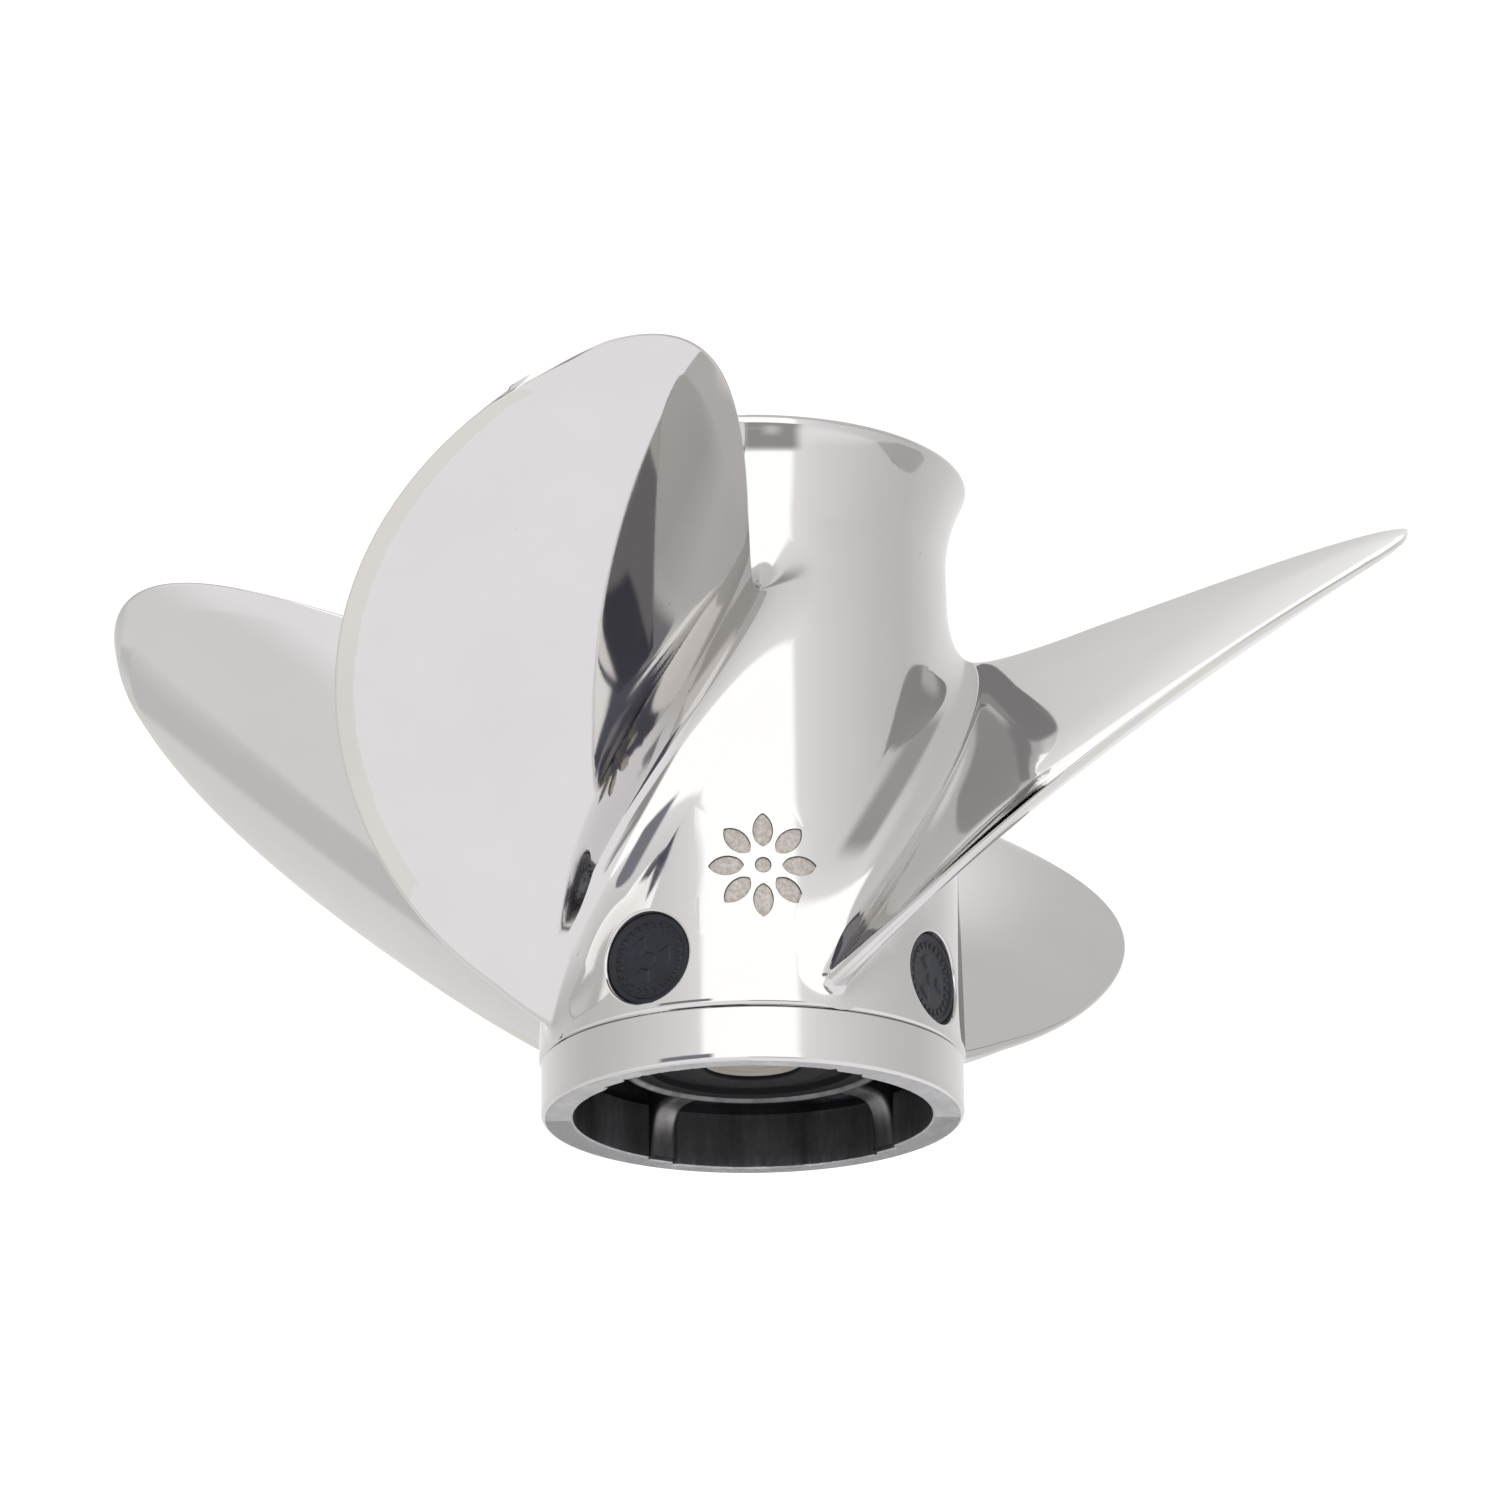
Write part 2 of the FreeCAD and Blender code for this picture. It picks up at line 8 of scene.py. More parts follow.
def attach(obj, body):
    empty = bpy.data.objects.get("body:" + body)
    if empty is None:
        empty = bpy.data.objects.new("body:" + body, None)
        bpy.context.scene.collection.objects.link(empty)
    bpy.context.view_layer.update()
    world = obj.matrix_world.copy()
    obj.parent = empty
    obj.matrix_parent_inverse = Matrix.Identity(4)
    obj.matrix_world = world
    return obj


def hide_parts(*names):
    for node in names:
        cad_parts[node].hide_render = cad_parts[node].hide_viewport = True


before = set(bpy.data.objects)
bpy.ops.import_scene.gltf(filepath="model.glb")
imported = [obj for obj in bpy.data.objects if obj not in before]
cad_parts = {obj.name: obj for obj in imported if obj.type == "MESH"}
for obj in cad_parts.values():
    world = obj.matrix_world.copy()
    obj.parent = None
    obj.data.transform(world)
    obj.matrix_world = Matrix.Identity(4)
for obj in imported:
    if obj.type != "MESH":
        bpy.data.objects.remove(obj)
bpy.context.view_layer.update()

# Lengths in this file are millimetres unless a name says otherwise; meshes are written in metres.
# Azimuths run about +Z from -Y towards +X.
MM = 0.001
BLADES = 4
SECTOR = 2.0 * math.pi / BLADES

# ------------------------------------------------------------------ object sizes
RING_RADIUS = 57.0
RING_HEIGHT = 15.0
BARREL_LENGTH = 180.0
BARREL_FRONT_RADIUS = 57.6
CONE_START = 16.2
NECK_RADIUS = 54.7
NECK_HEIGHT = 155.0
FLARE_ARC = 48.0
FLARE_ANGLE = math.radians(28.6)
CAST_BORE = 51.2
BARREL_BORE = CAST_BORE - 0.1
HUB_BORE = 33.0
HUB_BACK = 132.0
SLEEVE_BACK = 126.0
SLEEVE_LIP = 14.5
ADAPTER_RADIUS = 17.0
THICK_WALL_BORE = 48.4
THIN_WALL_BORE = 51.0
RIB_FOOT = 34.2
RIB_BACK = 127.0
RIB_AZIMUTHS = np.radians([30.0, 134.0, 210.0, 314.0])
PLUG_AZIMUTH = math.radians(-29.5)
PLUG_HEIGHT = 30.6
PLUG_RADIUS = 12.5
ORNAMENT_AZIMUTH = math.radians(3.4)
ORNAMENT_HEIGHT = 53.8
PETALS = 8
SECTOR_LINES = 22
LEAF_REACH = 9.75
LEAF_DISC = 5.38
LEAF_OFFSET = 2.53
HOLE_BLOCK_HEIGHTS = (17.2, 45.6)
HOLE_BLOCK_COLUMNS = 25

ROOT_RADIUS = 57.5
TIP_RADIUS = 185.4


# ------------------------------------------------------------------ mesh helpers
def make_object(name, verts_mm, faces, materials, face_material=None, sharp=None):
    """Mesh object from an (n, 3) array in mm and a list of index arrays (k, 3) or (k, 4)."""
    mesh = bpy.data.meshes.new(name)
    verts = np.asarray(verts_mm, float) * MM
    mesh.vertices.add(len(verts))
    mesh.vertices.foreach_set("co", verts.ravel())
    starts = []
    loops = []
    total = 0
    for block in faces:
        block = np.asarray(block, np.int64)
        if len(block) == 0:
            continue
        width = block.shape[1]
        starts.append(total + width * np.arange(len(block)))
        loops.append(block.ravel())
        total += block.size
    starts = np.concatenate(starts)
    loops = np.concatenate(loops)
    mesh.loops.add(len(loops))
    mesh.loops.foreach_set("vertex_index", loops)
    mesh.polygons.add(len(starts))
    mesh.polygons.foreach_set("loop_start", starts)
    for material in materials:
        mesh.materials.append(material)
    if face_material is not None:
        mesh.polygons.foreach_set("material_index", np.asarray(face_material, np.int32))
    mesh.polygons.foreach_set("use_smooth", np.ones(len(starts), bool))
    mesh.update(calc_edges=True)
    mesh.validate()
    if sharp is not None:
        mesh.set_sharp_from_angle(angle=math.radians(sharp))
    obj = bpy.data.objects.new(name, mesh)
    bpy.context.scene.collection.objects.link(obj)
    return obj


def tube_faces(rows, cols):
    """Quads of a rows x cols vertex grid whose last column joins the first."""
    i, j = np.meshgrid(np.arange(rows - 1), np.arange(cols), indexing="ij")
    a = i * cols + j
    b = i * cols + (j + 1) % cols
    return np.stack([a, b, b + cols, a + cols], -1).reshape(-1, 4)


def closing_strip(rows, cols):
    """Quads that join the last row of such a grid to its first row."""
    j = np.arange(cols)
    k = (j + 1) % cols
    last = (rows - 1) * cols
    return np.stack([last + j, last + k, k, j], -1)


def fan_faces(loop, hub):
    """Triangles from a closed loop of vertices to one hub vertex."""
    return np.stack([loop, np.roll(loop, -1), np.full(len(loop), hub)], -1)


def cylinder_point(radius, azimuth, height):
    """Points from a distance to the shaft axis, an azimuth and a height."""
    radius, azimuth, height = np.broadcast_arrays(radius, azimuth, height)
    return np.stack([radius * np.sin(azimuth), -radius * np.cos(azimuth), height], -1)


def revolve(name, profile, material, columns, sharp):
    """Solid of revolution about +Z from a closed outline of (radius, height) points."""
    profile = np.asarray(profile, float)
    azimuth = np.linspace(0.0, 2.0 * math.pi, columns, endpoint=False)
    verts = cylinder_point(profile[:, 0:1], azimuth[None, :], profile[:, 1:2]).reshape(-1, 3)
    faces = [tube_faces(len(profile), columns), closing_strip(len(profile), columns)]
    return make_object(name, verts, faces, [material], sharp=sharp)


def arc(centre_r, centre_z, radius, start_deg, end_deg, count):
    """Points of an arc in the (radius, height) plane."""
    a = np.radians(np.linspace(start_deg, end_deg, count))
    return [(centre_r + radius * math.cos(x), centre_z + radius * math.sin(x)) for x in a]


def spaced(points, step):
    """Adds points along straight runs so that none is longer than step."""
    out = [points[0]]
    for p, q in zip(points[:-1], points[1:]):
        length = math.hypot(q[0] - p[0], q[1] - p[1])
        count = max(1, int(math.ceil(length / step)))
        for k in range(1, count + 1):
            t = k / count
            out.append((p[0] + (q[0] - p[0]) * t, p[1] + (q[1] - p[1]) * t))
    return out


# ------------------------------------------------------------------ node helpers
class Nodes:
    """Small wrapper that adds shader nodes and links them."""

    def __init__(self, tree):
        self.tree = tree
        tree.nodes.clear()

    def add(self, kind, **settings):
        node = self.tree.nodes.new(kind)
        for key, value in settings.items():
            setattr(node, key, value)
        return node

    def link(self, output, socket):
        self.tree.links.new(output, socket)

    def math(self, operation, a, b=None):
        node = self.add("ShaderNodeMath", operation=operation)
        for socket, value in zip(node.inputs, (a, b)):
            if hasattr(value, "links"):
                self.link(value, socket)
            elif value is not None:
                socket.default_value = value
        return node.outputs[0]

    def ramp(self, factor, stops):
        node = self.add("ShaderNodeValToRGB")
        elements = node.color_ramp.elements
        while len(elements) < len(stops):
            elements.new(0.5)
        for element, (position, value) in zip(elements, stops):
            element.position = position
            element.color = tuple(value) + (1.0,) if hasattr(value, "__len__") else (value,) * 3 + (1.0,)
        self.link(factor, node.inputs[0])
        return node.outputs[0]

    def smooth_range(self, value, low, high, out_low=0.0, out_high=1.0):
        node = self.add("ShaderNodeMapRange", interpolation_type="SMOOTHSTEP")
        self.link(value, node.inputs["Value"])
        node.inputs["From Min"].default_value = low
        node.inputs["From Max"].default_value = high
        node.inputs["To Min"].default_value = out_low
        node.inputs["To Max"].default_value = out_high
        return node.outputs["Result"]

    def mix(self, factor, a, b):
        node = self.add("ShaderNodeMix", data_type="RGBA")
        for socket, value in zip((node.inputs[0], node.inputs[6], node.inputs[7]), (factor, a, b)):
            if hasattr(value, "links"):
                self.link(value, socket)
            elif hasattr(value, "__len__"):
                socket.default_value = tuple(value) + (1.0,)
            else:
                socket.default_value = value
        return node.outputs[2]

    def noise(self, vector, scale, detail=3.0, rough=0.5):
        node = self.add("ShaderNodeTexNoise")
        node.inputs["Scale"].default_value = scale
        node.inputs["Detail"].default_value = detail
        node.inputs["Roughness"].default_value = rough
        self.link(vector, node.inputs["Vector"])
        return node.outputs["Fac"]

    def stretched(self, vector, scale):
        node = self.add("ShaderNodeMapping")
        node.inputs["Scale"].default_value = scale
        self.link(vector, node.inputs["Vector"])
        return node.outputs["Vector"]

    def bump(self, height, strength, distance_m, normal=None):
        node = self.add("ShaderNodeBump")
        node.inputs["Strength"].default_value = strength
        node.inputs["Distance"].default_value = distance_m
        self.link(height, node.inputs["Height"])
        if normal is not None:
            self.link(normal, node.inputs["Normal"])
        return node.outputs["Normal"]


def new_material(name):
    """Material with a Principled shader, its node helper and object coordinates."""
    material = bpy.data.materials.new(name)
    material.use_nodes = True
    nodes = Nodes(material.node_tree)
    output = nodes.add("ShaderNodeOutputMaterial")
    shader = nodes.add("ShaderNodeBsdfPrincipled")
    nodes.link(shader.outputs[0], output.inputs["Surface"])
    place = nodes.add("ShaderNodeTexCoord").outputs["Object"]
    return material, nodes, shader, place


# ------------------------------------------------------------------ materials
def polished_steel(name, tint=(0.735, 0.719, 0.706), rough=(0.035, 0.085), wave=0.3, scratch=0.12):
    """Hand-polished stainless casting: soft waviness, fine wheel lines, a few pin holes darkened with
    painted shade.
    """
    material, n, shader, place = new_material(name)
    shader.inputs["Metallic"].default_value = 1.0
    cloud = n.noise(place, 28.0, 4.0, 0.6)
    tone = n.ramp(cloud, [(0.30, tuple(0.965 * c for c in tint)), (0.70, tint)])
    pits = n.add("ShaderNodeTexVoronoi", feature="F1")
    pits.inputs["Scale"].default_value = 95.0
    n.link(place, pits.inputs["Vector"])
    chance = n.noise(place, 41.0, 1.0)
    pit = n.math("MULTIPLY", n.smooth_range(pits.outputs["Distance"], 0.045, 0.025),
                 n.smooth_range(chance, 0.62, 0.66))
    # The pin holes are dents in the bump; their dark colour is painted shade.
    n.link(n.mix(pit, tone, (0.16, 0.15, 0.14)), shader.inputs["Base Color"])
    smear = n.noise(n.stretched(place, (1.0, 1.0, 3.0)), 22.0, 5.0, 0.65)
    n.link(n.smooth_range(smear, 0.35, 0.72, rough[0], rough[1]), shader.inputs["Roughness"])
    lines = n.noise(n.stretched(place, (420.0, 420.0, 26.0)), 5.0, 2.0, 0.6)
    swell = n.noise(place, 55.0, 1.0, 0.4)
    waves = n.bump(swell, wave, 0.00003)
    fine = n.bump(lines, scratch, 0.000006, waves)
    dents = n.bump(n.math("SUBTRACT", 1.0, pit), 0.6, 0.0001, fine)
    n.link(dents, shader.inputs["Normal"])
    return material


def ground_steel(name, tint=(0.42, 0.42, 0.425), rough=0.34):
    """Machined ring face: grey, cross-scratched, with worn lighter patches."""
    material, n, shader, place = new_material(name)
    shader.inputs["Metallic"].default_value = 1.0
    patch = n.noise(place, 75.0, 6.0, 0.7)
    hatch = n.noise(n.stretched(place, (1.0, 5.0, 1.0)), 420.0, 3.0, 0.6)
    blend = n.math("ADD", n.math("MULTIPLY", patch, 0.7), n.math("MULTIPLY", hatch, 0.3))
    low = tuple(0.72 * c for c in tint)
    high = tuple(1.35 * c for c in tint)
    n.link(n.ramp(blend, [(0.36, low), (0.50, tint), (0.62, high)]), shader.inputs["Base Color"])
    n.link(n.smooth_range(patch, 0.3, 0.7, rough - 0.07, rough + 0.12), shader.inputs["Roughness"])
    n.link(n.bump(hatch, 0.5, 0.00004), shader.inputs["Normal"])
    return material


def cast_steel_painted_shade(name, tint=(0.10, 0.10, 0.105), rough=0.55, grain=520.0, depth=0.00012):
    """As-cast steel inside the exhaust passage: granular and streaked; its dark colour is partly painted
    shade of the passage.
    """
    material, n, shader, place = new_material(name)
    shader.inputs["Metallic"].default_value = 1.0
    stain = n.noise(n.stretched(place, (1.0, 1.0, 0.25)), 60.0, 6.0, 0.65)
    low = tuple(0.45 * c for c in tint)
    high = tuple(1.8 * c for c in tint)
    n.link(n.ramp(stain, [(0.32, low), (0.52, tint), (0.72, high)]), shader.inputs["Base Color"])
    shader.inputs["Roughness"].default_value = rough
    n.link(n.bump(n.noise(place, grain, 5.0, 0.6), 0.7, depth), shader.inputs["Normal"])
    return material


def blasted_floor(name):
    """Bead-blasted floor of the engraved ornament."""
    material, n, shader, place = new_material(name)
    shader.inputs["Metallic"].default_value = 0.55
    speck = n.noise(place, 900.0, 4.0, 0.7)
    tone = n.ramp(speck, [(0.35, (0.47, 0.43, 0.39)), (0.65, (0.72, 0.67, 0.62))])
    n.link(tone, shader.inputs["Base Color"])
    shader.inputs["Roughness"].default_value = 0.62
    n.link(n.bump(speck, 0.5, 0.00006), shader.inputs["Normal"])
    return material


def moulded_plastic(name, tint=(0.009, 0.010, 0.0155), rough=0.42, gloss=0.45):
    """Black glass-filled moulding with a fine grain and dusty haze."""
    material, n, shader, place = new_material(name)
    haze = n.noise(place, 130.0, 5.0, 0.7)
    light = tuple(2.6 * c + 0.002 for c in tint)
    n.link(n.ramp(haze, [(0.40, tint), (0.75, light)]), shader.inputs["Base Color"])
    n.link(n.smooth_range(haze, 0.3, 0.7, rough - 0.06, rough + 0.12), shader.inputs["Roughness"])
    shader.inputs["Specular IOR Level"].default_value = gloss
    n.link(n.bump(n.noise(place, 1500.0, 3.0, 0.6), 0.35, 0.00003), shader.inputs["Normal"])
    return material


def machined_metal(name, tint=(0.86, 0.82, 0.76)):
    """Turned steel of the adapter: fine circular tool marks."""
    material, n, shader, place = new_material(name)
    shader.inputs["Metallic"].default_value = 0.45
    marks = n.noise(n.stretched(place, (1.0, 1.0, 60.0)), 60.0, 3.0, 0.6)
    n.link(n.ramp(marks, [(0.3, tuple(0.85 * c for c in tint)), (0.7, tuple(1.1 * c for c in tint))]),
           shader.inputs["Base Color"])
    n.link(n.smooth_range(marks, 0.3, 0.7, 0.28, 0.42), shader.inputs["Roughness"])
    n.link(n.bump(marks, 0.3, 0.00002), shader.inputs["Normal"])
    return material


STEEL_BARREL = polished_steel("polished_barrel_steel")
STEEL_BLADE = polished_steel("polished_blade_steel", rough=(0.03, 0.07), wave=0.18)
STEEL_EDGE = polished_steel("ground_edge_steel", tint=(0.70, 0.682, 0.625), rough=(0.14, 0.26), wave=0.5)
STEEL_RING = polished_steel("turned_ring_steel", rough=(0.06, 0.13), wave=0.25, scratch=0.05)
GROUND = ground_steel("ground_ring_face")
# Inside the barrel: as-cast steel whose dark colour is partly painted shade of the passage.
CAST_PAINTED_SHADE = cast_steel_painted_shade("interior_cast_painted_shade")
# Ribs and inner hub: as-cast steel, darkened partly as painted shade inside the passage.
RIB_STEEL_PAINTED_SHADE = cast_steel_painted_shade("rib_steel", tint=(0.22, 0.215, 0.21), rough=0.42, grain=300.0, depth=0.00006)
FLOOR_STEEL = blasted_floor("blasted_engraving")
PLUG_BLACK = moulded_plastic("plug_plastic")
SLEEVE_BLACK = moulded_plastic("sleeve_composite", tint=(0.003, 0.0032, 0.004), rough=0.6, gloss=0.2)
ADAPTER_METAL = machined_metal("adapter_metal")


# ------------------------------------------------------------------ barrel skin
def outer_radius(height):
    """Outside radius of the barrel: a long cone, then the flare arc."""
    height = np.asarray(height, float)
    part = np.clip((height - CONE_START) / (NECK_HEIGHT - CONE_START), 0.0, 1.0)
    cone = BARREL_FRONT_RADIUS + part * (NECK_RADIUS - BARREL_FRONT_RADIUS)
    rise = np.clip((height - NECK_HEIGHT) / FLARE_ARC, 0.0, 0.95)
    return cone + FLARE_ARC * (1.0 - np.sqrt(1.0 - rise * rise))


def barrel_profile():
    """Closed half section as (radius, height), and the row numbers of outside and inside."""
    lip_radius = NECK_RADIUS + FLARE_ARC * (1.0 - math.cos(FLARE_ANGLE))
    lip_start = NECK_HEIGHT + FLARE_ARC * math.sin(FLARE_ANGLE)
    points = [(56.45, 15.0), (56.9, 15.25), (57.35, 15.7), (57.6, 16.4)]
    outside_from = len(points)
    for height in np.arange(17.6, 178.01, 1.2):
        points.append((float(outer_radius(height)), float(height)))
    outside_to = len(points) - 1
    top = BARREL_LENGTH
    points += [(lip_radius + 0.02, lip_start + 0.5), (lip_radius - 0.15, top - 0.95),
               (lip_radius - 0.5, top - 0.45), (lip_radius - 1.0, top - 0.12),
               (lip_radius - 1.6, top), (lip_radius - 2.2, top - 0.1), (lip_radius - 2.7, top - 0.45)]
    points += [(51.1 + 6.3 * ((h - 150.0) / 28.5) ** 2, h) for h in np.arange(178.5, 150.0, -1.8)]
    inside_from = len(points)
    for height in np.arange(149.6, 17.0, -1.2):
        points.append((BARREL_BORE, float(height)))
    inside_to = len(points) - 1
    points += [(50.4, 16.6), (49.8, 15.0)]
    return np.array(points), (outside_from, outside_to), (inside_from, inside_to)


def to_skin(across, height, azimuth, radius_at):
    """Skin point for a sideways offset from an azimuth, on a surface of revolution."""
    radius = radius_at(height)
    return cylinder_point(radius, azimuth + np.arcsin(across / radius), height)


def rectangle_loop(row_low, row_high, col_low, col_high, columns, base):
    """Vertex numbers round a block of the grid, and their rows and columns."""
    cells = [(row_low, c) for c in range(col_low, col_high)]
    cells += [(r, col_high) for r in range(row_low, row_high)]
    cells += [(row_high, c) for c in range(col_high, col_low, -1)]
    cells += [(r, col_low) for r in range(row_high, row_low, -1)]
    rows = np.array([c[0] for c in cells])
    cols = np.array([c[1] for c in cells])
    return base + rows * columns + cols % columns, rows, cols


def strip_faces(first, second):
    """Quads between two closed loops with the same number of vertices."""
    k = np.roll(np.arange(len(first)), -1)
    return np.stack([first, first[k], second[k], second], -1)


class Barrel:
    """Gathers the vertices and faces of the barrel, its vent holes and its ornament."""

    COLUMNS = 576

    def __init__(self):
        self.profile, self.outside, self.inside = barrel_profile()
        azimuth = np.arange(self.COLUMNS) * (2.0 * math.pi / self.COLUMNS)
        skin = cylinder_point(self.profile[:, 0:1], azimuth[None, :], self.profile[:, 1:2])
        self.verts = [skin.reshape(-1, 3)]
        self.count = skin.shape[0] * skin.shape[1]
        self.keep = np.ones((len(self.profile), self.COLUMNS), bool)
        self.extra = []
        self.extra_material = []

    def add(self, points):
        start = self.count
        self.verts.append(points.reshape(-1, 3))
        self.count += len(points)
        return start + np.arange(len(points))

    def join(self, first, second, material=0):
        quads = strip_faces(first, second)
        self.extra.append(quads)
        self.extra_material.append(np.full(len(quads), material, np.int32))

    def open_block(self, azimuth, half_columns, row_low, row_high):
        middle = int(round(azimuth / (2.0 * math.pi) * self.COLUMNS))
        low = middle - half_columns
        high = middle + half_columns
        rows = np.arange(row_low, row_high)
        cols = np.arange(low, high) % self.COLUMNS
        self.keep[np.ix_(rows, cols)] = False
        loop, r, c = rectangle_loop(row_low, row_high, low, high, self.COLUMNS, 0)
        height = self.profile[r, 1]
        radius = self.profile[r, 0]
        turn = c * (2.0 * math.pi / self.COLUMNS) - azimuth
        return loop, radius * np.sin(turn), height

    def rows_about(self, which, low, high):
        first, last = which
        heights = self.profile[first:last + 1, 1]
        inside = np.nonzero((heights >= low) & (heights <= high))[0] + first
        return inside[0], inside[-1]


def shrink_loop(barrel, loop, across, height, target_across, target_height, azimuth, radius_at, steps):
    """Rings of vertices from a block's border to a target curve on the skin."""
    last = loop
    for t in steps:
        x = across + (target_across - across) * t
        z = height + (target_height - height) * t
        ring = barrel.add(to_skin(x, z, azimuth, radius_at))
        barrel.join(last, ring)
        last = ring
    return last


def cut_vent_hole(barrel, azimuth):
    """One round hole through the wall with a softened outer edge."""
    low, high = barrel.rows_about(barrel.outside, *HOLE_BLOCK_HEIGHTS)
    loop, across, height = barrel.open_block(azimuth, HOLE_BLOCK_COLUMNS, low, high)
    angle = np.arctan2(height - PLUG_HEIGHT, across)
    cosine = np.cos(angle)
    sine = np.sin(angle)
    edge = PLUG_RADIUS + 0.75
    outer = shrink_loop(barrel, loop, across, height, edge * cosine, PLUG_HEIGHT + edge * sine,
                        azimuth, outer_radius, (0.3, 0.6, 0.82, 0.94, 1.0))
    frame_out = np.array([math.sin(azimuth), -math.cos(azimuth), 0.0])
    frame_side = np.array([math.cos(azimuth), math.sin(azimuth), 0.0])

    def rim(radius, drop, surface):
        x = radius * cosine
        z = PLUG_HEIGHT + radius * sine
        y = np.sqrt(surface(z) ** 2 - x * x) - drop
        points = y[:, None] * frame_out + x[:, None] * frame_side
        points[:, 2] = z
        return points

    last = outer
    for radius, drop in ((12.95, 0.10), (12.7, 0.32), (12.54, 0.68), (12.5, 1.1)):
        ring = barrel.add(rim(radius, drop, outer_radius))
        barrel.join(last, ring)
        last = ring

    def bore(height):
        return BARREL_BORE + 0.0 * height

    top = rim(PLUG_RADIUS, 1.1, outer_radius)
    bottom = rim(PLUG_RADIUS, 0.0, bore)
    for t in (0.35, 0.7, 1.0):
        ring = barrel.add(top + (bottom - top) * t)
        barrel.join(last, ring, 2)
        last = ring
    low, high = barrel.rows_about(barrel.inside, *HOLE_BLOCK_HEIGHTS)
    loop, across, height = barrel.open_block(azimuth, HOLE_BLOCK_COLUMNS, low, high)
    angle = np.arctan2(height - PLUG_HEIGHT, across)
    gap = angle - math.atan2(sine[0], cosine[0])
    start = int(np.argmin(np.abs(np.angle(np.exp(1j * gap))))) + 1
    loop = np.roll(loop[::-1], start)
    across = np.roll(across[::-1], start)
    height = np.roll(height[::-1], start)
    assert len(loop) == len(last)
    # The bore round the hole takes the dark cast steel; its dark colour is partly painted shade.
    chain = [loop]
    for t in (0.3, 0.6, 0.85):
        x = across + (PLUG_RADIUS * cosine - across) * t
        z = height + (PLUG_HEIGHT + PLUG_RADIUS * sine - height) * t
        chain.append(barrel.add(to_skin(x, z, azimuth, bore)))
    chain.append(last)
    for first, second in zip(chain[:-1], chain[1:]):
        barrel.join(second, first, 1)


def petal_half_width(radius):
    """Half width in mm of a leaf whose axis runs from the centre outwards."""
    flat = np.clip(LEAF_DISC ** 2 - (radius - LEAF_REACH) ** 2, 0.0, None)
    return np.maximum(np.sqrt(flat) - LEAF_OFFSET, 0.15)


def engrave_ornament(barrel):
    """Eight shallow leaves round a centre dot, with lines of the mesh along every edge."""
    azimuth = ORNAMENT_AZIMUTH
    row_low = barrel.rows_about(barrel.outside, ORNAMENT_HEIGHT - 18.9, ORNAMENT_HEIGHT + 25.0)[0]
    row_high = row_low + 30
    middle_height = 0.5 * (barrel.profile[row_low, 1] + barrel.profile[row_high, 1])
    loop, across, height = barrel.open_block(azimuth, 29, row_low, row_high)
    count = len(loop)
    angle = np.arctan2(height - middle_height, across)
    start = int(np.argmin(np.abs(np.angle(np.exp(1j * (angle + math.radians(22.5)))))))
    loop = np.roll(loop, -start)
    across = np.roll(across, -start)
    height = np.roll(height, -start)
    natural = np.unwrap(np.arctan2(height - middle_height, across))
    assert count == PETALS * SECTOR_LINES, count

    sector = 2.0 * math.pi / PETALS
    wall = 0.22
    inner_end = 5.1
    outer_end = 14.4
    rings = [15.6, 15.0, 14.7, outer_end, outer_end - wall]
    rings += list(np.linspace(13.6, 5.9, 12)) + [inner_end + wall, inner_end, 4.4, 3.2, 2.2, 2.0, 1.2, 0.5]
    depth = 0.55
    last = loop
    last_floor = None
    for ring_radius in rings:
        half = math.atan2(float(petal_half_width(ring_radius)), ring_radius)
        half = min(half, 0.5 * sector - 0.09)
        lean = wall / ring_radius
        marks = [(0, -0.5 * sector), (4, -half - 0.35 * lean), (5, -half), (6, -half + lean),
                 (16, half - lean), (17, half), (18, half + 0.35 * lean), (22, 0.5 * sector)]
        if half < 1.2 * lean:
            marks[3] = (6, -half + 0.5 * half)
            marks[4] = (16, half - 0.5 * half)
        local = np.interp(np.arange(SECTOR_LINES), [m[0] for m in marks], [m[1] for m in marks])
        target = np.concatenate([local + k * sector for k in range(PETALS)])
        blend = min(1.0, max(0.0, (17.2 - ring_radius) / 1.6))
        turn = natural + (target - natural) * blend
        x = ring_radius * np.cos(turn)
        z = middle_height + ring_radius * np.sin(turn)
        line = np.tile(np.arange(SECTOR_LINES), PETALS)
        in_leaf = (line >= 6) & (line <= 16) & (inner_end < ring_radius < outer_end)
        in_dot = ring_radius <= 2.0
        sunk = in_leaf | in_dot
        points = to_skin(x, z, azimuth, outer_radius)
        inward = 1.0 - depth * sunk / np.hypot(points[:, 0], points[:, 1])
        points[:, 0] *= inward
        points[:, 1] *= inward
        ring = barrel.add(points)
        quads = strip_faces(last, ring)
        nxt = np.roll(np.arange(count), -1)
        if last_floor is None:
            kind = np.zeros(count, np.int32)
        else:
            all_sunk = sunk & sunk[nxt] & last_floor & last_floor[nxt]
            kind = np.where(all_sunk, 3, 0).astype(np.int32)
            # Quads on the leaf walls take material 4, the painted shade of the engraving walls.
            some = (sunk | sunk[nxt] | last_floor | last_floor[nxt]) & ~all_sunk
            kind[some] = 4
        barrel.extra.append(quads)
        barrel.extra_material.append(kind)
        last = ring
        last_floor = sunk
    centre = to_skin(np.array([0.0]), np.array([middle_height]), azimuth, outer_radius)
    centre[:, :2] *= 1.0 - depth / np.hypot(centre[:, 0:1], centre[:, 1:2])
    hub = barrel.add(centre)
    return fan_faces(last, hub[0])


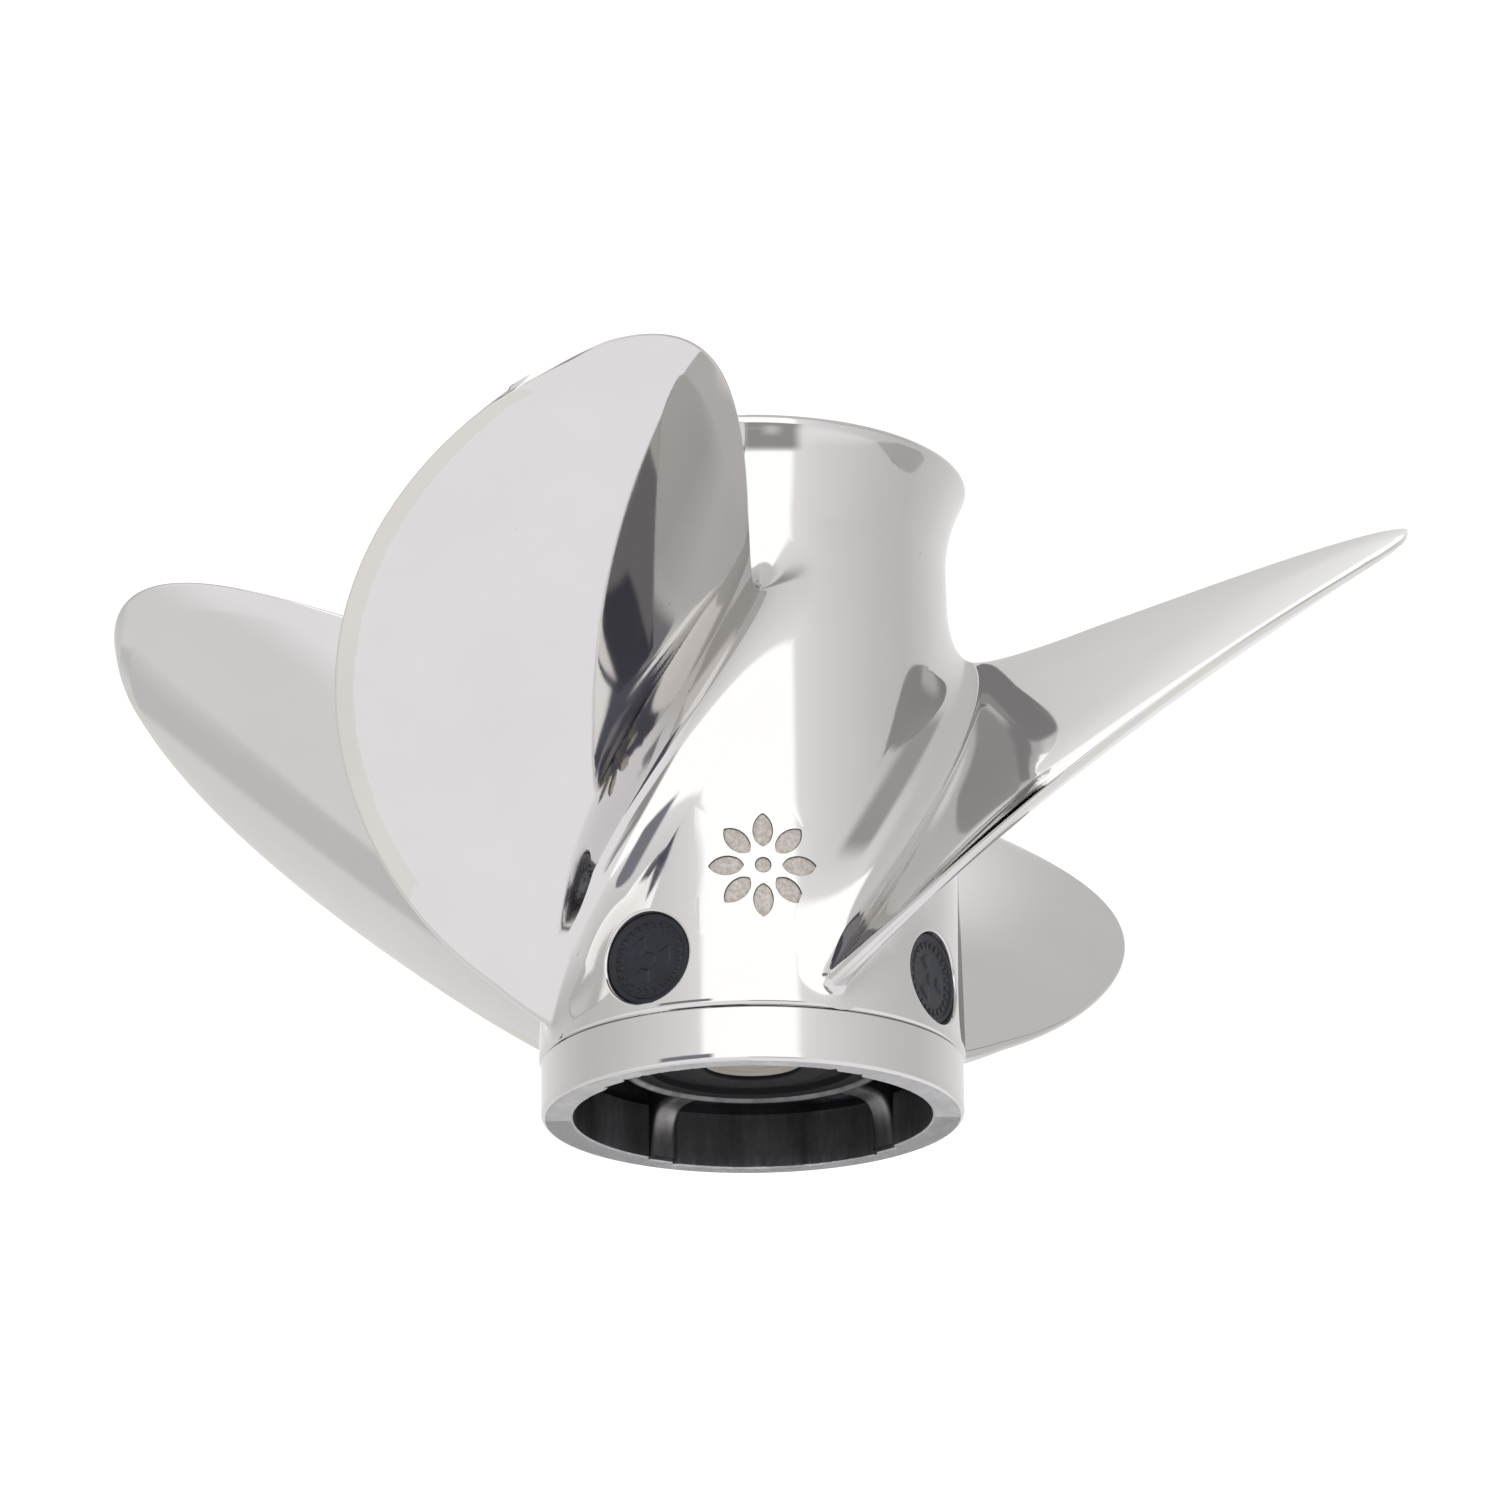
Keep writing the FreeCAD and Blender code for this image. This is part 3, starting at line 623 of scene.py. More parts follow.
def build_barrel():
    """Barrel wall with four vent holes and one engraved ornament, as one mesh."""
    barrel = Barrel()
    for k in range(BLADES):
        cut_vent_hole(barrel, PLUG_AZIMUTH + k * SECTOR)
    fan = engrave_ornament(barrel)
    rows = len(barrel.profile)
    i, j = np.nonzero(barrel.keep[:rows - 1])
    nxt = (j + 1) % barrel.COLUMNS
    skin = np.stack([i * barrel.COLUMNS + j, i * barrel.COLUMNS + nxt,
                     (i + 1) * barrel.COLUMNS + nxt, (i + 1) * barrel.COLUMNS + j], -1)
    # Inner faces take the dark cast steel; its dark colour is partly painted shade of the passage.
    inside = (i >= barrel.inside[0] - 17) & (i > barrel.outside[1] + 6)
    skin_material = np.where(inside, 1, 0).astype(np.int32)
    closing = closing_strip(rows, barrel.COLUMNS)
    verts = np.concatenate(barrel.verts)
    faces = [skin, closing] + barrel.extra + [fan]
    kinds = [skin_material, np.ones(len(closing), np.int32)] + barrel.extra_material
    kinds.append(np.full(len(fan), 3, np.int32))
    # The engraving walls get a dark colour: painted shade in the engraving.
    painted_wall_shade = cast_steel_painted_shade("engraving_wall_painted_shade", tint=(0.16, 0.14, 0.12), rough=0.5)
    return make_object("outer_barrel_skin", verts, faces,
                       [STEEL_BARREL, CAST_PAINTED_SHADE, GROUND, FLOOR_STEEL, painted_wall_shade],
                       np.concatenate(kinds), sharp=38)


# ------------------------------------------------------------------ blades
def blade_laws(radius):
    """Mid-chord azimuth, height, half angle, lead per radian and camber at a radius."""
    s = (radius - ROOT_RADIUS) / (TIP_RADIUS - ROOT_RADIUS)
    u = np.clip(s, 0.0, 1.0)
    middle = np.radians(-34.4 + 12.4 * u + 3.1 * u ** 3)
    height = 72.7 + 37.0 * s + 31.6 * u * u
    half = math.radians(35.2) * (1.0 - 0.36 * u + 0.14 * u ** 3)
    half = half * np.sqrt(np.clip(1.0 - u ** 3, 0.0, 1.0))
    lead = (538.0 + 224.0 * u - 147.0 * u * u) / (2.0 * math.pi)
    camber = 12.9 * u ** 1.5
    return u, middle, height, half, lead, camber


# edge and bevel in mm, trims as shares of the half chord, fillet shape as shares of its radius
EDGE = 1.1
ROOT_NOSE = 4.2
LEAD_TRIM = 0.036
TRAIL_GAIN = 0.02
BEVEL_REACH = 6.5
BEVEL_DEPTH = 0.6
FORE_FILLET = 9.0
AFT_FILLET = 13.0
LEAD_END_FILLET = 3.2
FILLET_HEIGHT = 0.68
FOOT_SPREAD = 1.3
HOLE_MARGIN = 1.8


def edge_distance(radius, chord):
    """Turn from mid chord and distance in mm to the outline; chord runs -1 (leading) to 1."""
    u, _, _, half, lead, _ = blade_laws(radius)
    heel = 7.0 * np.exp(-np.maximum(radius - ROOT_RADIUS, 0.0) / 4.5) / radius
    lead_side = half * (1.0 - LEAD_TRIM * np.clip(u / 0.15, 0.0, 1.0))
    reach = np.where(chord > 0.0, half * (1.0 + TRAIL_GAIN * u * u) + heel, lead_side)
    t = chord * reach
    step = 0.05
    half_out = blade_laws(np.minimum(radius + step, TIP_RADIUS - 1e-4))[3]
    half_in = blade_laws(np.minimum(radius, TIP_RADIUS - step))[3]
    fall = (half_out - half_in) / step
    along = 1.0 / np.sqrt(radius ** 2 + lead ** 2)
    inward = np.maximum(reach - np.abs(t), 0.0) / np.sqrt(along ** 2 + (0.75 * fall) ** 2)
    return t, inward


def blade_loop(radius, chord, face):
    """Point of the blade section in developed axes (arc length, height).

    chord runs -1 (leading edge) to 1 (trailing edge); face is -1 fore, +1 aft.
    """
    u, middle, height, _, lead, camber = blade_laws(radius)
    t, inward = edge_distance(radius, chord)
    z = height + lead * t + camber * t * t
    slope = lead + 2.0 * camber * t
    body = 1.9 + 7.6 * (1.0 - u) ** 2.0
    edge = EDGE + np.where(chord < 0.0, ROOT_NOSE * np.exp(-u / 0.26), 0.0)
    thick = edge + (body - edge) * np.clip(1.0 - chord ** 2, 0.0, 1.0) ** (0.75 + 0.35 * u)
    nose = np.clip(inward / (0.5 * edge), 0.0, 1.0)
    rounding = np.sqrt(np.clip(1.0 - (1.0 - nose) ** 2, 0.0, 1.0))
    norm = np.sqrt(radius ** 2 + slope ** 2)
    away_x = -slope / norm
    away_z = radius / norm
    bevel = BEVEL_DEPTH * np.clip(1.0 - inward / BEVEL_REACH, 0.0, 1.0)
    bevel = bevel * np.clip((u - 0.40) / 0.30, 0.0, 1.0)
    offset = 0.5 * bevel + face * 0.5 * (thick - bevel) * rounding
    cup = np.clip((chord - 0.72) / 0.28, 0.0, 1.0) ** 2 * np.clip(u / 0.3, 0.0, 1.0)
    offset = offset + 1.1 * cup
    x = radius * (middle + t) + away_x * offset
    z = z + away_z * offset
    return x, z


def blade_mesh():
    """Vertices and faces of one blade with fillets that run out onto the barrel."""
    side = 150
    q = np.linspace(0.0, math.pi, side)
    chord = np.concatenate([-np.cos(q), np.cos(q)[1:-1]])
    face = np.concatenate([-np.ones(side), np.ones(side - 2)])
    face[0] = 0.0
    face[side - 1] = 0.0
    around = len(chord)
    end = np.abs(chord) ** 8
    fillet = np.where(face < 0, FORE_FILLET, AFT_FILLET)
    fillet = np.where(face == 0, 0.5 * (FORE_FILLET + AFT_FILLET), fillet)
    tail = np.where(chord > 0, FORE_FILLET, LEAD_END_FILLET)
    fillet = fillet * (1.0 - end) + tail * end
    kernel = np.hanning(13)
    kernel /= kernel.sum()
    padded = np.concatenate([fillet[-6:], fillet, fillet[:6]])
    fillet = np.convolve(padded, kernel, "valid")
    root_x, root_z = blade_loop(ROOT_RADIUS, chord, face)
    room = np.hypot(root_x - ROOT_RADIUS * PLUG_AZIMUTH, root_z - PLUG_HEIGHT) - PLUG_RADIUS
    fillet = np.minimum(fillet, (room - HOLE_MARGIN) / FOOT_SPREAD)

    rows = []

    def place(height_above, spread):
        radius = ROOT_RADIUS + height_above
        x, z = blade_loop(radius, chord, face)
        tx = np.roll(x, -1) - np.roll(x, 1)
        tz = np.roll(z, -1) - np.roll(z, 1)
        size = np.maximum(np.sqrt(tx * tx + tz * tz), 1e-9)
        x = x + tz / size * spread
        z = z - tx / size * spread
        azimuth = x / radius
        lift = np.clip(height_above / 30.0, 0.0, 1.0)
        lift = lift * lift * (3.0 - 2.0 * lift)
        base = outer_radius(z) * (1.0 - lift) + ROOT_RADIUS * lift
        return cylinder_point(base + height_above, azimuth, z)

    for a in np.radians(np.linspace(0.0, 90.0, 15)):
        rest = 1.0 - math.sin(a)
        height_above = FILLET_HEIGHT * fillet * (1.0 - math.cos(a))
        spread = fillet * (rest + (FOOT_SPREAD - 1.0) * rest * rest)
        rows.append(place(height_above, spread))
    heights = [np.zeros(around)] * len(rows)
    count = 120
    span = TIP_RADIUS - ROOT_RADIUS
    for k in range(1, count):
        p = k / count
        g = 1.0 - (1.0 - p) ** 2.0
        start = FILLET_HEIGHT * fillet
        heights.append(start + (span - start) * g)
        rows.append(place(heights[-1], np.zeros(around)))
    heights = np.array(heights)
    verts = np.concatenate(rows)
    radii = np.minimum(ROOT_RADIUS + heights, TIP_RADIUS - 1e-4)
    ground = edge_distance(radii, chord)[1] < BEVEL_REACH
    ground &= (face < 0) & (chord < 0.3) & (heights > 0.38 * span)
    tip_mid = blade_laws(np.array(TIP_RADIUS - 1e-6))
    tip = cylinder_point(TIP_RADIUS, tip_mid[1], tip_mid[2] + 0.55)
    last = (len(rows) - 1) * around + np.arange(around)
    faces = [tube_faces(len(rows), around), fan_faces(last, len(verts))]
    verts = np.concatenate([verts, tip.reshape(1, 3)])
    kinds = np.concatenate([ground[:-1].ravel(), np.zeros(around, bool)]).astype(np.int32)
    return verts, faces, kinds


def turned(verts, angle):
    """Copy of the vertices turned about the shaft axis."""
    c = math.cos(angle)
    s = math.sin(angle)
    out = verts.copy()
    out[:, 0] = c * verts[:, 0] - s * verts[:, 1]
    out[:, 1] = s * verts[:, 0] + c * verts[:, 1]
    return out


def build_blades():
    verts, faces, kinds = blade_mesh()
    blades = []
    for k in range(BLADES):
        name = "blade_skin_%d" % (k + 1)
        blades.append(make_object(name, turned(verts, k * SECTOR), faces, [STEEL_BLADE, STEEL_EDGE], kinds))
    return blades


# ------------------------------------------------------------------ front ring
def ring_bore(azimuth):
    """Bore radius of the front ring: thick walls at the sides, thin walls between rib pairs."""
    out = np.zeros_like(azimuth)
    levels = (THICK_WALL_BORE, THIN_WALL_BORE, THICK_WALL_BORE, THIN_WALL_BORE)
    for k in range(BLADES):
        start = RIB_AZIMUTHS[k]
        sector = (RIB_AZIMUTHS[(k + 1) % BLADES] - start) % (2.0 * math.pi)
        turn = np.mod(azimuth - start, 2.0 * math.pi)
        inside = turn < sector
        edge = np.minimum(turn, sector - turn)
        ease = np.clip((edge - math.radians(3.5)) / math.radians(2.2), 0.0, 1.0)
        ease = ease * ease * (3.0 - 2.0 * ease)
        notch = np.exp(-((edge - math.radians(4.9)) / math.radians(0.8)) ** 2)
        depth = 1.1 if levels[k] == THIN_WALL_BORE else 1.6
        out = np.where(inside, 49.9 + (levels[k] - 49.9) * ease + depth * notch, out)
    return out


def build_front_ring():
    """Turned band with a ground front face and a slightly chipped inner edge."""
    columns = 720
    azimuth = np.arange(columns) * (2.0 * math.pi / columns)
    bore = ring_bore(azimuth)
    rng = np.random.default_rng(11)
    chip = rng.normal(0.0, 1.0, columns)
    chip = 0.6 * chip + 0.4 * np.roll(chip, 1)
    thin = np.clip((bore - 50.2) / 0.6, 0.0, 1.0)
    chip = np.clip(chip, -1.2, 1.2) * (0.05 + 0.13 * thin)
    rows = []

    def row(radius, height):
        rows.append(cylinder_point(radius + 0.0 * azimuth, azimuth, height + 0.0 * azimuth))

    kinds = []
    for height in (14.45, 11.0, 7.0, 3.0, 1.1):
        row(RING_RADIUS, height)
        kinds.append(0)
    for radius, height, kind in ((56.86, 0.6, 0), (56.5, 0.2, 0), (56.0, 0.0, 1)):
        row(radius, height)
        kinds.append(kind)
    for t in (0.25, 0.5, 0.75, 0.93):
        row(56.0 + (bore + 0.5 - 56.0) * t, 0.0)
        kinds.append(1)
    row(bore + 0.55 + chip, 0.0)
    kinds.append(1)
    # The inner edge, bore and back face take the dark cast steel; its dark colour is partly painted shade.
    row(bore + 0.12 + 0.6 * chip, 0.35 + 0.4 * np.abs(chip))
    kinds.append(2)
    for height in (1.2, 4.0, 8.0, 12.0, RING_HEIGHT):
        row(bore + 0.0, height)
        kinds.append(2)
    row(56.4, RING_HEIGHT)
    kinds.append(2)
    row(56.5, 14.95)
    kinds.append(0)
    row(56.72, 14.7)
    kinds.append(0)
    verts = np.concatenate(rows)
    faces = [tube_faces(len(rows), columns), closing_strip(len(rows), columns)]
    index = np.repeat(np.asarray(kinds, np.int32), columns)
    return make_object("front_ring_skin", verts, faces, [STEEL_RING, GROUND, CAST_PAINTED_SHADE], index, sharp=34)


# ------------------------------------------------------------------ inside pieces
def build_inner_hub():
    """Tube that holds the sleeve, with the seat at its aft end."""
    profile = [(HUB_BORE, 15.2)] + arc(34.5, 15.5, 1.55, 190, 350, 12) + [(36.1, 20.0)]
    profile += [(35.6, 60.0), (34.9, 130.0), (34.2, 131.6), (33.4, HUB_BACK), (24.6, HUB_BACK),
                (24.0, 131.4), (24.0, 126.4), (24.4, SLEEVE_BACK), (HUB_BORE, SLEEVE_BACK)]
    profile = spaced(profile, 6.0)
    return revolve("inner_hub_skin", profile, RIB_STEEL_PAINTED_SHADE, columns=240, sharp=40)


def rib_mesh():
    """One rib: its front edge runs out from the hub rim, turns a knee and drops to the ring."""
    width = 3.6
    corner = 1.9
    turn = np.radians(np.linspace(0.0, 90.0, 7))
    left = -width + corner - corner * np.cos(turn)
    across = np.concatenate([left, -left[::-1]])
    depth = np.concatenate([corner - corner * np.sin(turn), (corner - corner * np.sin(turn))[::-1]])
    t = np.linspace(0.0, 0.5 * math.pi, 25)
    edge_r = np.concatenate([np.linspace(RIB_FOOT, 39.4, 6), 40.0 + 8.9 * np.sin(t) ** 0.62])
    edge_z = np.concatenate([np.full(6, 14.4), 1.2 + 13.2 * np.cos(t) ** 0.62])
    slope_r = np.gradient(edge_r)
    slope_z = np.gradient(edge_z)
    size = np.hypot(slope_r, slope_z)
    in_r = -slope_z / size
    in_z = slope_r / size
    rows = []
    for k in range(len(edge_r)):
        share = k / (len(edge_r) - 1.0)
        flare = 1.0 + 0.35 * math.exp(-share * 9.0) + 0.25 * math.exp(-(1.0 - share) * 8.0)
        x = across * flare
        radius = edge_r[k] + in_r[k] * depth
        height = edge_z[k] + in_z[k] * depth
        far = RIB_FOOT + 17.2 * share
        x = np.concatenate([[x[0]], x, [x[-1]]])
        radius = np.concatenate([[far], radius, [far]])
        height = np.concatenate([[RIB_BACK], height, [RIB_BACK]])
        reach = np.sqrt(np.maximum(radius ** 2 - x * x, 1.0))
        rows.append(np.stack([x, -reach, height], -1))
    count = len(across) + 2
    verts = np.concatenate(rows)
    first = np.arange(count)[::-1]
    last = (len(rows) - 1) * count + np.arange(count)
    verts = np.concatenate([verts, rows[0].mean(0)[None], rows[-1].mean(0)[None]])
    faces = [tube_faces(len(rows), count),
             fan_faces(first, len(verts) - 2), fan_faces(last, len(verts) - 1)]
    return verts, faces


def build_ribs():
    verts, faces = rib_mesh()
    return [make_object("rib_skin_%d" % (k + 1), turned(verts, RIB_AZIMUTHS[k]), faces,
                        [RIB_STEEL_PAINTED_SHADE], sharp=50) for k in range(BLADES)]


def build_sleeve():
    """Drive sleeve with a recessed ring in its front face and a lip over the adapter."""
    profile = [(13.4, 15.7), (13.4, 15.1)] + arc(14.0, 15.1, 0.6, 180, 270, 5)
    profile += [(20.0, SLEEVE_LIP), (20.6, 14.6), (21.2, 16.1), (27.8, 16.1), (28.4, 14.6)]
    profile += [(29.0, SLEEVE_LIP), (31.8, SLEEVE_LIP), (32.5, 14.7), (32.9, 15.4), (32.95, 20.0)]
    profile += [(32.95, SLEEVE_BACK), (ADAPTER_RADIUS, SLEEVE_BACK), (ADAPTER_RADIUS, 15.7)]
    profile = spaced(profile, 4.0)
    return revolve("drive_sleeve_skin", profile, SLEEVE_BLACK, columns=220, sharp=35)


# ------------------------------------------------------------------ vent plugs
def plug_face_height(radius, angle):
    """Relief of the plug face: rim, dished field, raised ticks and a centre boss."""
    rim = 1.0 / (1.0 + np.exp((10.75 - radius) / 0.09))
    field = -0.55 * (1.0 - rim)

    def bars(count, low, high, share, phase=0.0):
        wave = np.cos(count * (angle + phase))
        on = 1.0 / (1.0 + np.exp((math.cos(math.pi * share) - wave) / 0.10))
        band = 1.0 / (1.0 + np.exp((low - radius) / 0.08)) / (1.0 + np.exp((radius - high) / 0.08))
        return on * band

    ticks = 0.38 * bars(24, 8.3, 9.9, 0.5)
    paddles = 0.42 * bars(3, 3.0, 6.4, 0.36, 0.3)
    boss = 0.30 / (1.0 + np.exp((radius - 1.7) / 0.08))
    return field + ticks + paddles + boss


def plug_mesh():
    """Plug with its face towards +Z of its own axes; z is the distance from the shaft axis."""
    columns = 240
    angle = np.arange(columns) * (2.0 * math.pi / columns)
    face = 55.3
    rows = []
    body = [(12.42, 47.6), (13.3, 48.0), (13.4, 49.2), (12.45, 49.2), (12.45, 54.6), (12.38, 55.0),
            (12.15, 55.25), (11.9, face)]
    for radius, z in body:
        rows.append(np.stack([radius * np.cos(angle), radius * np.sin(angle), 0 * angle + z], -1))
    for radius in np.concatenate([np.linspace(11.8, 10.4, 12), np.linspace(10.25, 8.0, 16),
                                  np.linspace(7.8, 2.4, 30), np.linspace(2.2, 0.3, 10)]):
        z = face + plug_face_height(radius, angle)
        rows.append(np.stack([radius * np.cos(angle), radius * np.sin(angle), z], -1))
    count = len(rows)
    verts = np.concatenate(rows)
    last = (count - 1) * columns + np.arange(columns)
    first = np.arange(columns)[::-1]
    top = np.array([[0.0, 0.0, face - 0.25]])
    bottom = np.array([[0.0, 0.0, 47.6]])
    verts = np.concatenate([verts, top, bottom])
    faces = [tube_faces(count, columns), fan_faces(last, len(verts) - 2), fan_faces(first, len(verts) - 1)]
    return verts, faces


def build_plugs():
    verts, faces = plug_mesh()
    plugs = []
    for k in range(BLADES):
        azimuth = PLUG_AZIMUTH + k * SECTOR
        spin = 0.4 + 1.9 * k
        c = math.cos(spin)
        s = math.sin(spin)
        x = c * verts[:, 0] - s * verts[:, 1]
        z = s * verts[:, 0] + c * verts[:, 1]
        out = np.array([math.sin(azimuth), -math.cos(azimuth), 0.0])
        side = np.array([math.cos(azimuth), math.sin(azimuth), 0.0])
        placed = verts[:, 2:3] * out + x[:, None] * side
        placed[:, 2] = z + PLUG_HEIGHT
        plugs.append(make_object("vent_plug_skin_%d" % (k + 1), placed, faces, [PLUG_BLACK], sharp=32))
    return plugs


# ------------------------------------------------------------------ assemble
def claim(obj, nodes):
    """Lets a piece ride on the body and stand in for its CAD nodes."""
    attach(obj, "root")
    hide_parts(*nodes)


claim(build_barrel(), ["outer_barrel"])
claim(build_front_ring(), ["front_ring"])
claim(build_inner_hub(), ["inner_hub"])
claim(build_sleeve(), ["drive_sleeve"])
for number, blade in enumerate(build_blades(), start=1):
    claim(blade, ["blade_%d" % number])
for number, rib in enumerate(build_ribs(), start=1):
    claim(rib, ["rib_%d" % number])
for number, plug in enumerate(build_plugs(), start=1):
    claim(plug, ["vent_plug_%d" % number])

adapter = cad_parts["spline_adapter"]
for material_slot in adapter.material_slots:
    material_slot.material = ADAPTER_METAL


# ------------------------------------------------------------------ studio
def build_floor():
    """Pale floor that is seen from above and lets a camera below look through."""
    size = 40.0
    mesh = bpy.data.meshes.new("studio_floor")
    corners = [(-size, -size, 0.0), (size, -size, 0.0), (size, size, 0.0), (-size, size, 0.0)]
    mesh.from_pydata(corners, [], [(0, 1, 2, 3)])
    floor = bpy.data.objects.new("studio_floor", mesh)
    bpy.context.scene.collection.objects.link(floor)
    material = bpy.data.materials.new("studio_floor")
    material.use_nodes = True
    n = Nodes(material.node_tree)
    output = n.add("ShaderNodeOutputMaterial")
    paper = n.add("ShaderNodeBsdfDiffuse")
    paper.inputs["Color"].default_value = (0.80, 0.80, 0.80, 1.0)
    clear = n.add("ShaderNodeBsdfTransparent")
    mix = n.add("ShaderNodeMixShader")
    side = n.add("ShaderNodeNewGeometry").outputs["Backfacing"]
    n.link(side, mix.inputs[0])
    n.link(paper.outputs[0], mix.inputs[1])
    n.link(clear.outputs[0], mix.inputs[2])
    n.link(mix.outputs[0], output.inputs["Surface"])
    mesh.materials.append(material)
    floor.visible_glossy = False
    floor.visible_diffuse = False
    floor.visible_shadow = False


def box_mask(n, azimuth, elevation, az_low, az_high, el_low, el_high, soft_az, soft_el):
    """Soft-edged patch of the studio walls between two azimuths and two elevations (degrees)."""
    a = n.smooth_range(azimuth, az_low - soft_az, az_low + soft_az)
    b = n.smooth_range(azimuth, az_high + soft_az, az_high - soft_az)
    c = n.smooth_range(elevation, el_low - soft_el, el_low + soft_el)
    d = n.smooth_range(elevation, el_high + soft_el, el_high - soft_el)
    return n.math("MULTIPLY", n.math("MULTIPLY", a, b), n.math("MULTIPLY", c, d))


# Patches of the studio: azimuth range, elevation range, softness of each
# (degrees), brightness. Later patches cover earlier ones.
SEEN_ONCE = [
    (44.0, 108.0, 24.0, 35.0, 6.0, 2.0, 0.40),
    (-139.0, -127.0, -36.0, -22.0, 1.5, 4.0, 0.66),
    (-27.0, 25.5, -16.5, 47.5, 2.4, 1.5, 1.42),
    (-50.0, -21.0, -4.0, 9.0, 2.0, 1.5, 0.24),
    (-2.0, 28.5, -32.0, -17.5, 4.0, 2.5, 0.36),
    (10.0, 18.0, -36.0, -27.0, 4.0, 2.5, 0.66),
]
# What rays find that have already met the steel twice or more between the blades.
SEEN_AGAIN = [
    (66.0, 112.0, 24.0, 47.0, 4.0, 3.0, 0.38),
    (104.0, 155.0, 22.0, 64.0, 4.0, 3.0, 0.33),
    (-190.0, -140.0, 20.0, 66.0, 3.0, 4.0, 1.40),
    (-190.0, 190.0, 67.0, 95.0, 3.0, 3.0, 0.76),
    (-190.0, 190.0, 79.0, 95.0, 3.0, 2.0, 1.08),
    (48.0, 132.0, 55.0, 74.5, 4.0, 2.0, 0.44),
    (-76.0, -46.0, 10.0, 37.0, 1.5, 3.0, 1.25),
    (-60.0, -22.5, -15.0, 13.0, 1.0, 2.0, 1.45),
    (-22.0, 50.0, -27.0, 4.0, 0.6, 1.5, 0.31),
    (-45.0, 40.0, 3.0, 21.5, 1.0, 1.2, 0.12),
    (-45.0, -3.0, 20.0, 37.0, 1.0, 1.5, 0.13),
    (-42.0, -18.0, 37.0, 45.0, 1.5, 1.5, 0.28),
    (-2.5, 34.0, 23.0, 47.0, 1.2, 1.5, 1.25),
    (-21.5, 9.5, -17.0, 4.0, 0.8, 1.5, 0.10),
]


def add_patches(n, tone, azimuth, elevation, patches):
    """Lays the patches over a tone; the darker ones lean towards blue."""
    for az0, az1, el0, el1, soft_az, soft_el, level in patches:
        mask = box_mask(n, azimuth, elevation, az0, az1, el0, el1, soft_az, soft_el)
        blue = level * (1.0 + 1.4 * max(0.0, 0.36 - level))
        tone = n.mix(mask, tone, (level, level, blue))
    return tone


def build_world():
    """Light-grey studio seen only in reflections and as light; the camera sees plain white."""
    world = bpy.data.worlds.new("studio")
    bpy.context.scene.world = world
    world.use_nodes = True
    n = Nodes(world.node_tree)
    output = n.add("ShaderNodeOutputWorld")
    place = n.add("ShaderNodeTexCoord").outputs["Generated"]
    path = n.add("ShaderNodeLightPath")
    split = n.add("ShaderNodeSeparateXYZ")
    n.link(place, split.inputs[0])
    x, y, z = split.outputs
    azimuth = n.math("MULTIPLY", n.math("ARCTAN2", x, n.math("MULTIPLY", y, -1.0)), 180.0 / math.pi)
    elevation = n.math("MULTIPLY", n.math("ARCSINE", z), 180.0 / math.pi)
    turn = n.math("DIVIDE", n.math("ABSOLUTE", azimuth), 180.0)
    walls = n.ramp(turn, [(0.0, 1.0), (0.16, 0.96), (0.22, 0.87), (0.44, 0.69), (0.56, 0.65), (0.69, 0.75),
                          (0.78, 0.83), (1.0, 0.92)])
    left = n.smooth_range(azimuth, -100.0, -70.0, 1.0, 0.0)
    table_tone = n.mix(left, (1.0, 0.985, 1.03), (0.83, 0.825, 0.83))
    tone = n.mix(n.smooth_range(elevation, -28.0, -18.0, 1.0, 0.0), walls, table_tone)
    roof = n.ramp(n.math("DIVIDE", n.math("ADD", azimuth, 180.0), 360.0),
                  [(0.0, 0.84), (0.07, 0.80), (0.14, 0.69), (0.38, 0.58), (0.47, 0.74), (0.62, 0.68),
                   (1.0, 0.63)])
    tone = n.mix(n.smooth_range(elevation, 38.0, 50.0), tone, roof)
    once = add_patches(n, tone, azimuth, elevation, SEEN_ONCE)
    again = add_patches(n, tone, azimuth, elevation, SEEN_AGAIN)
    met_twice = n.smooth_range(path.outputs["Ray Depth"], 2.4, 2.6)
    tone = n.mix(met_twice, once, again)
    lit = n.add("ShaderNodeBackground")
    n.link(tone, lit.inputs["Color"])
    lit.inputs["Strength"].default_value = 1.0
    plain = n.add("ShaderNodeBackground")
    plain.inputs["Color"].default_value = (1.0, 1.0, 1.0, 1.0)
    plain.inputs["Strength"].default_value = 1.15
    mix = n.add("ShaderNodeMixShader")
    n.link(path.outputs["Is Camera Ray"], mix.inputs[0])
    n.link(lit.outputs[0], mix.inputs[1])
    n.link(plain.outputs[0], mix.inputs[2])
    n.link(mix.outputs[0], output.inputs["Surface"])


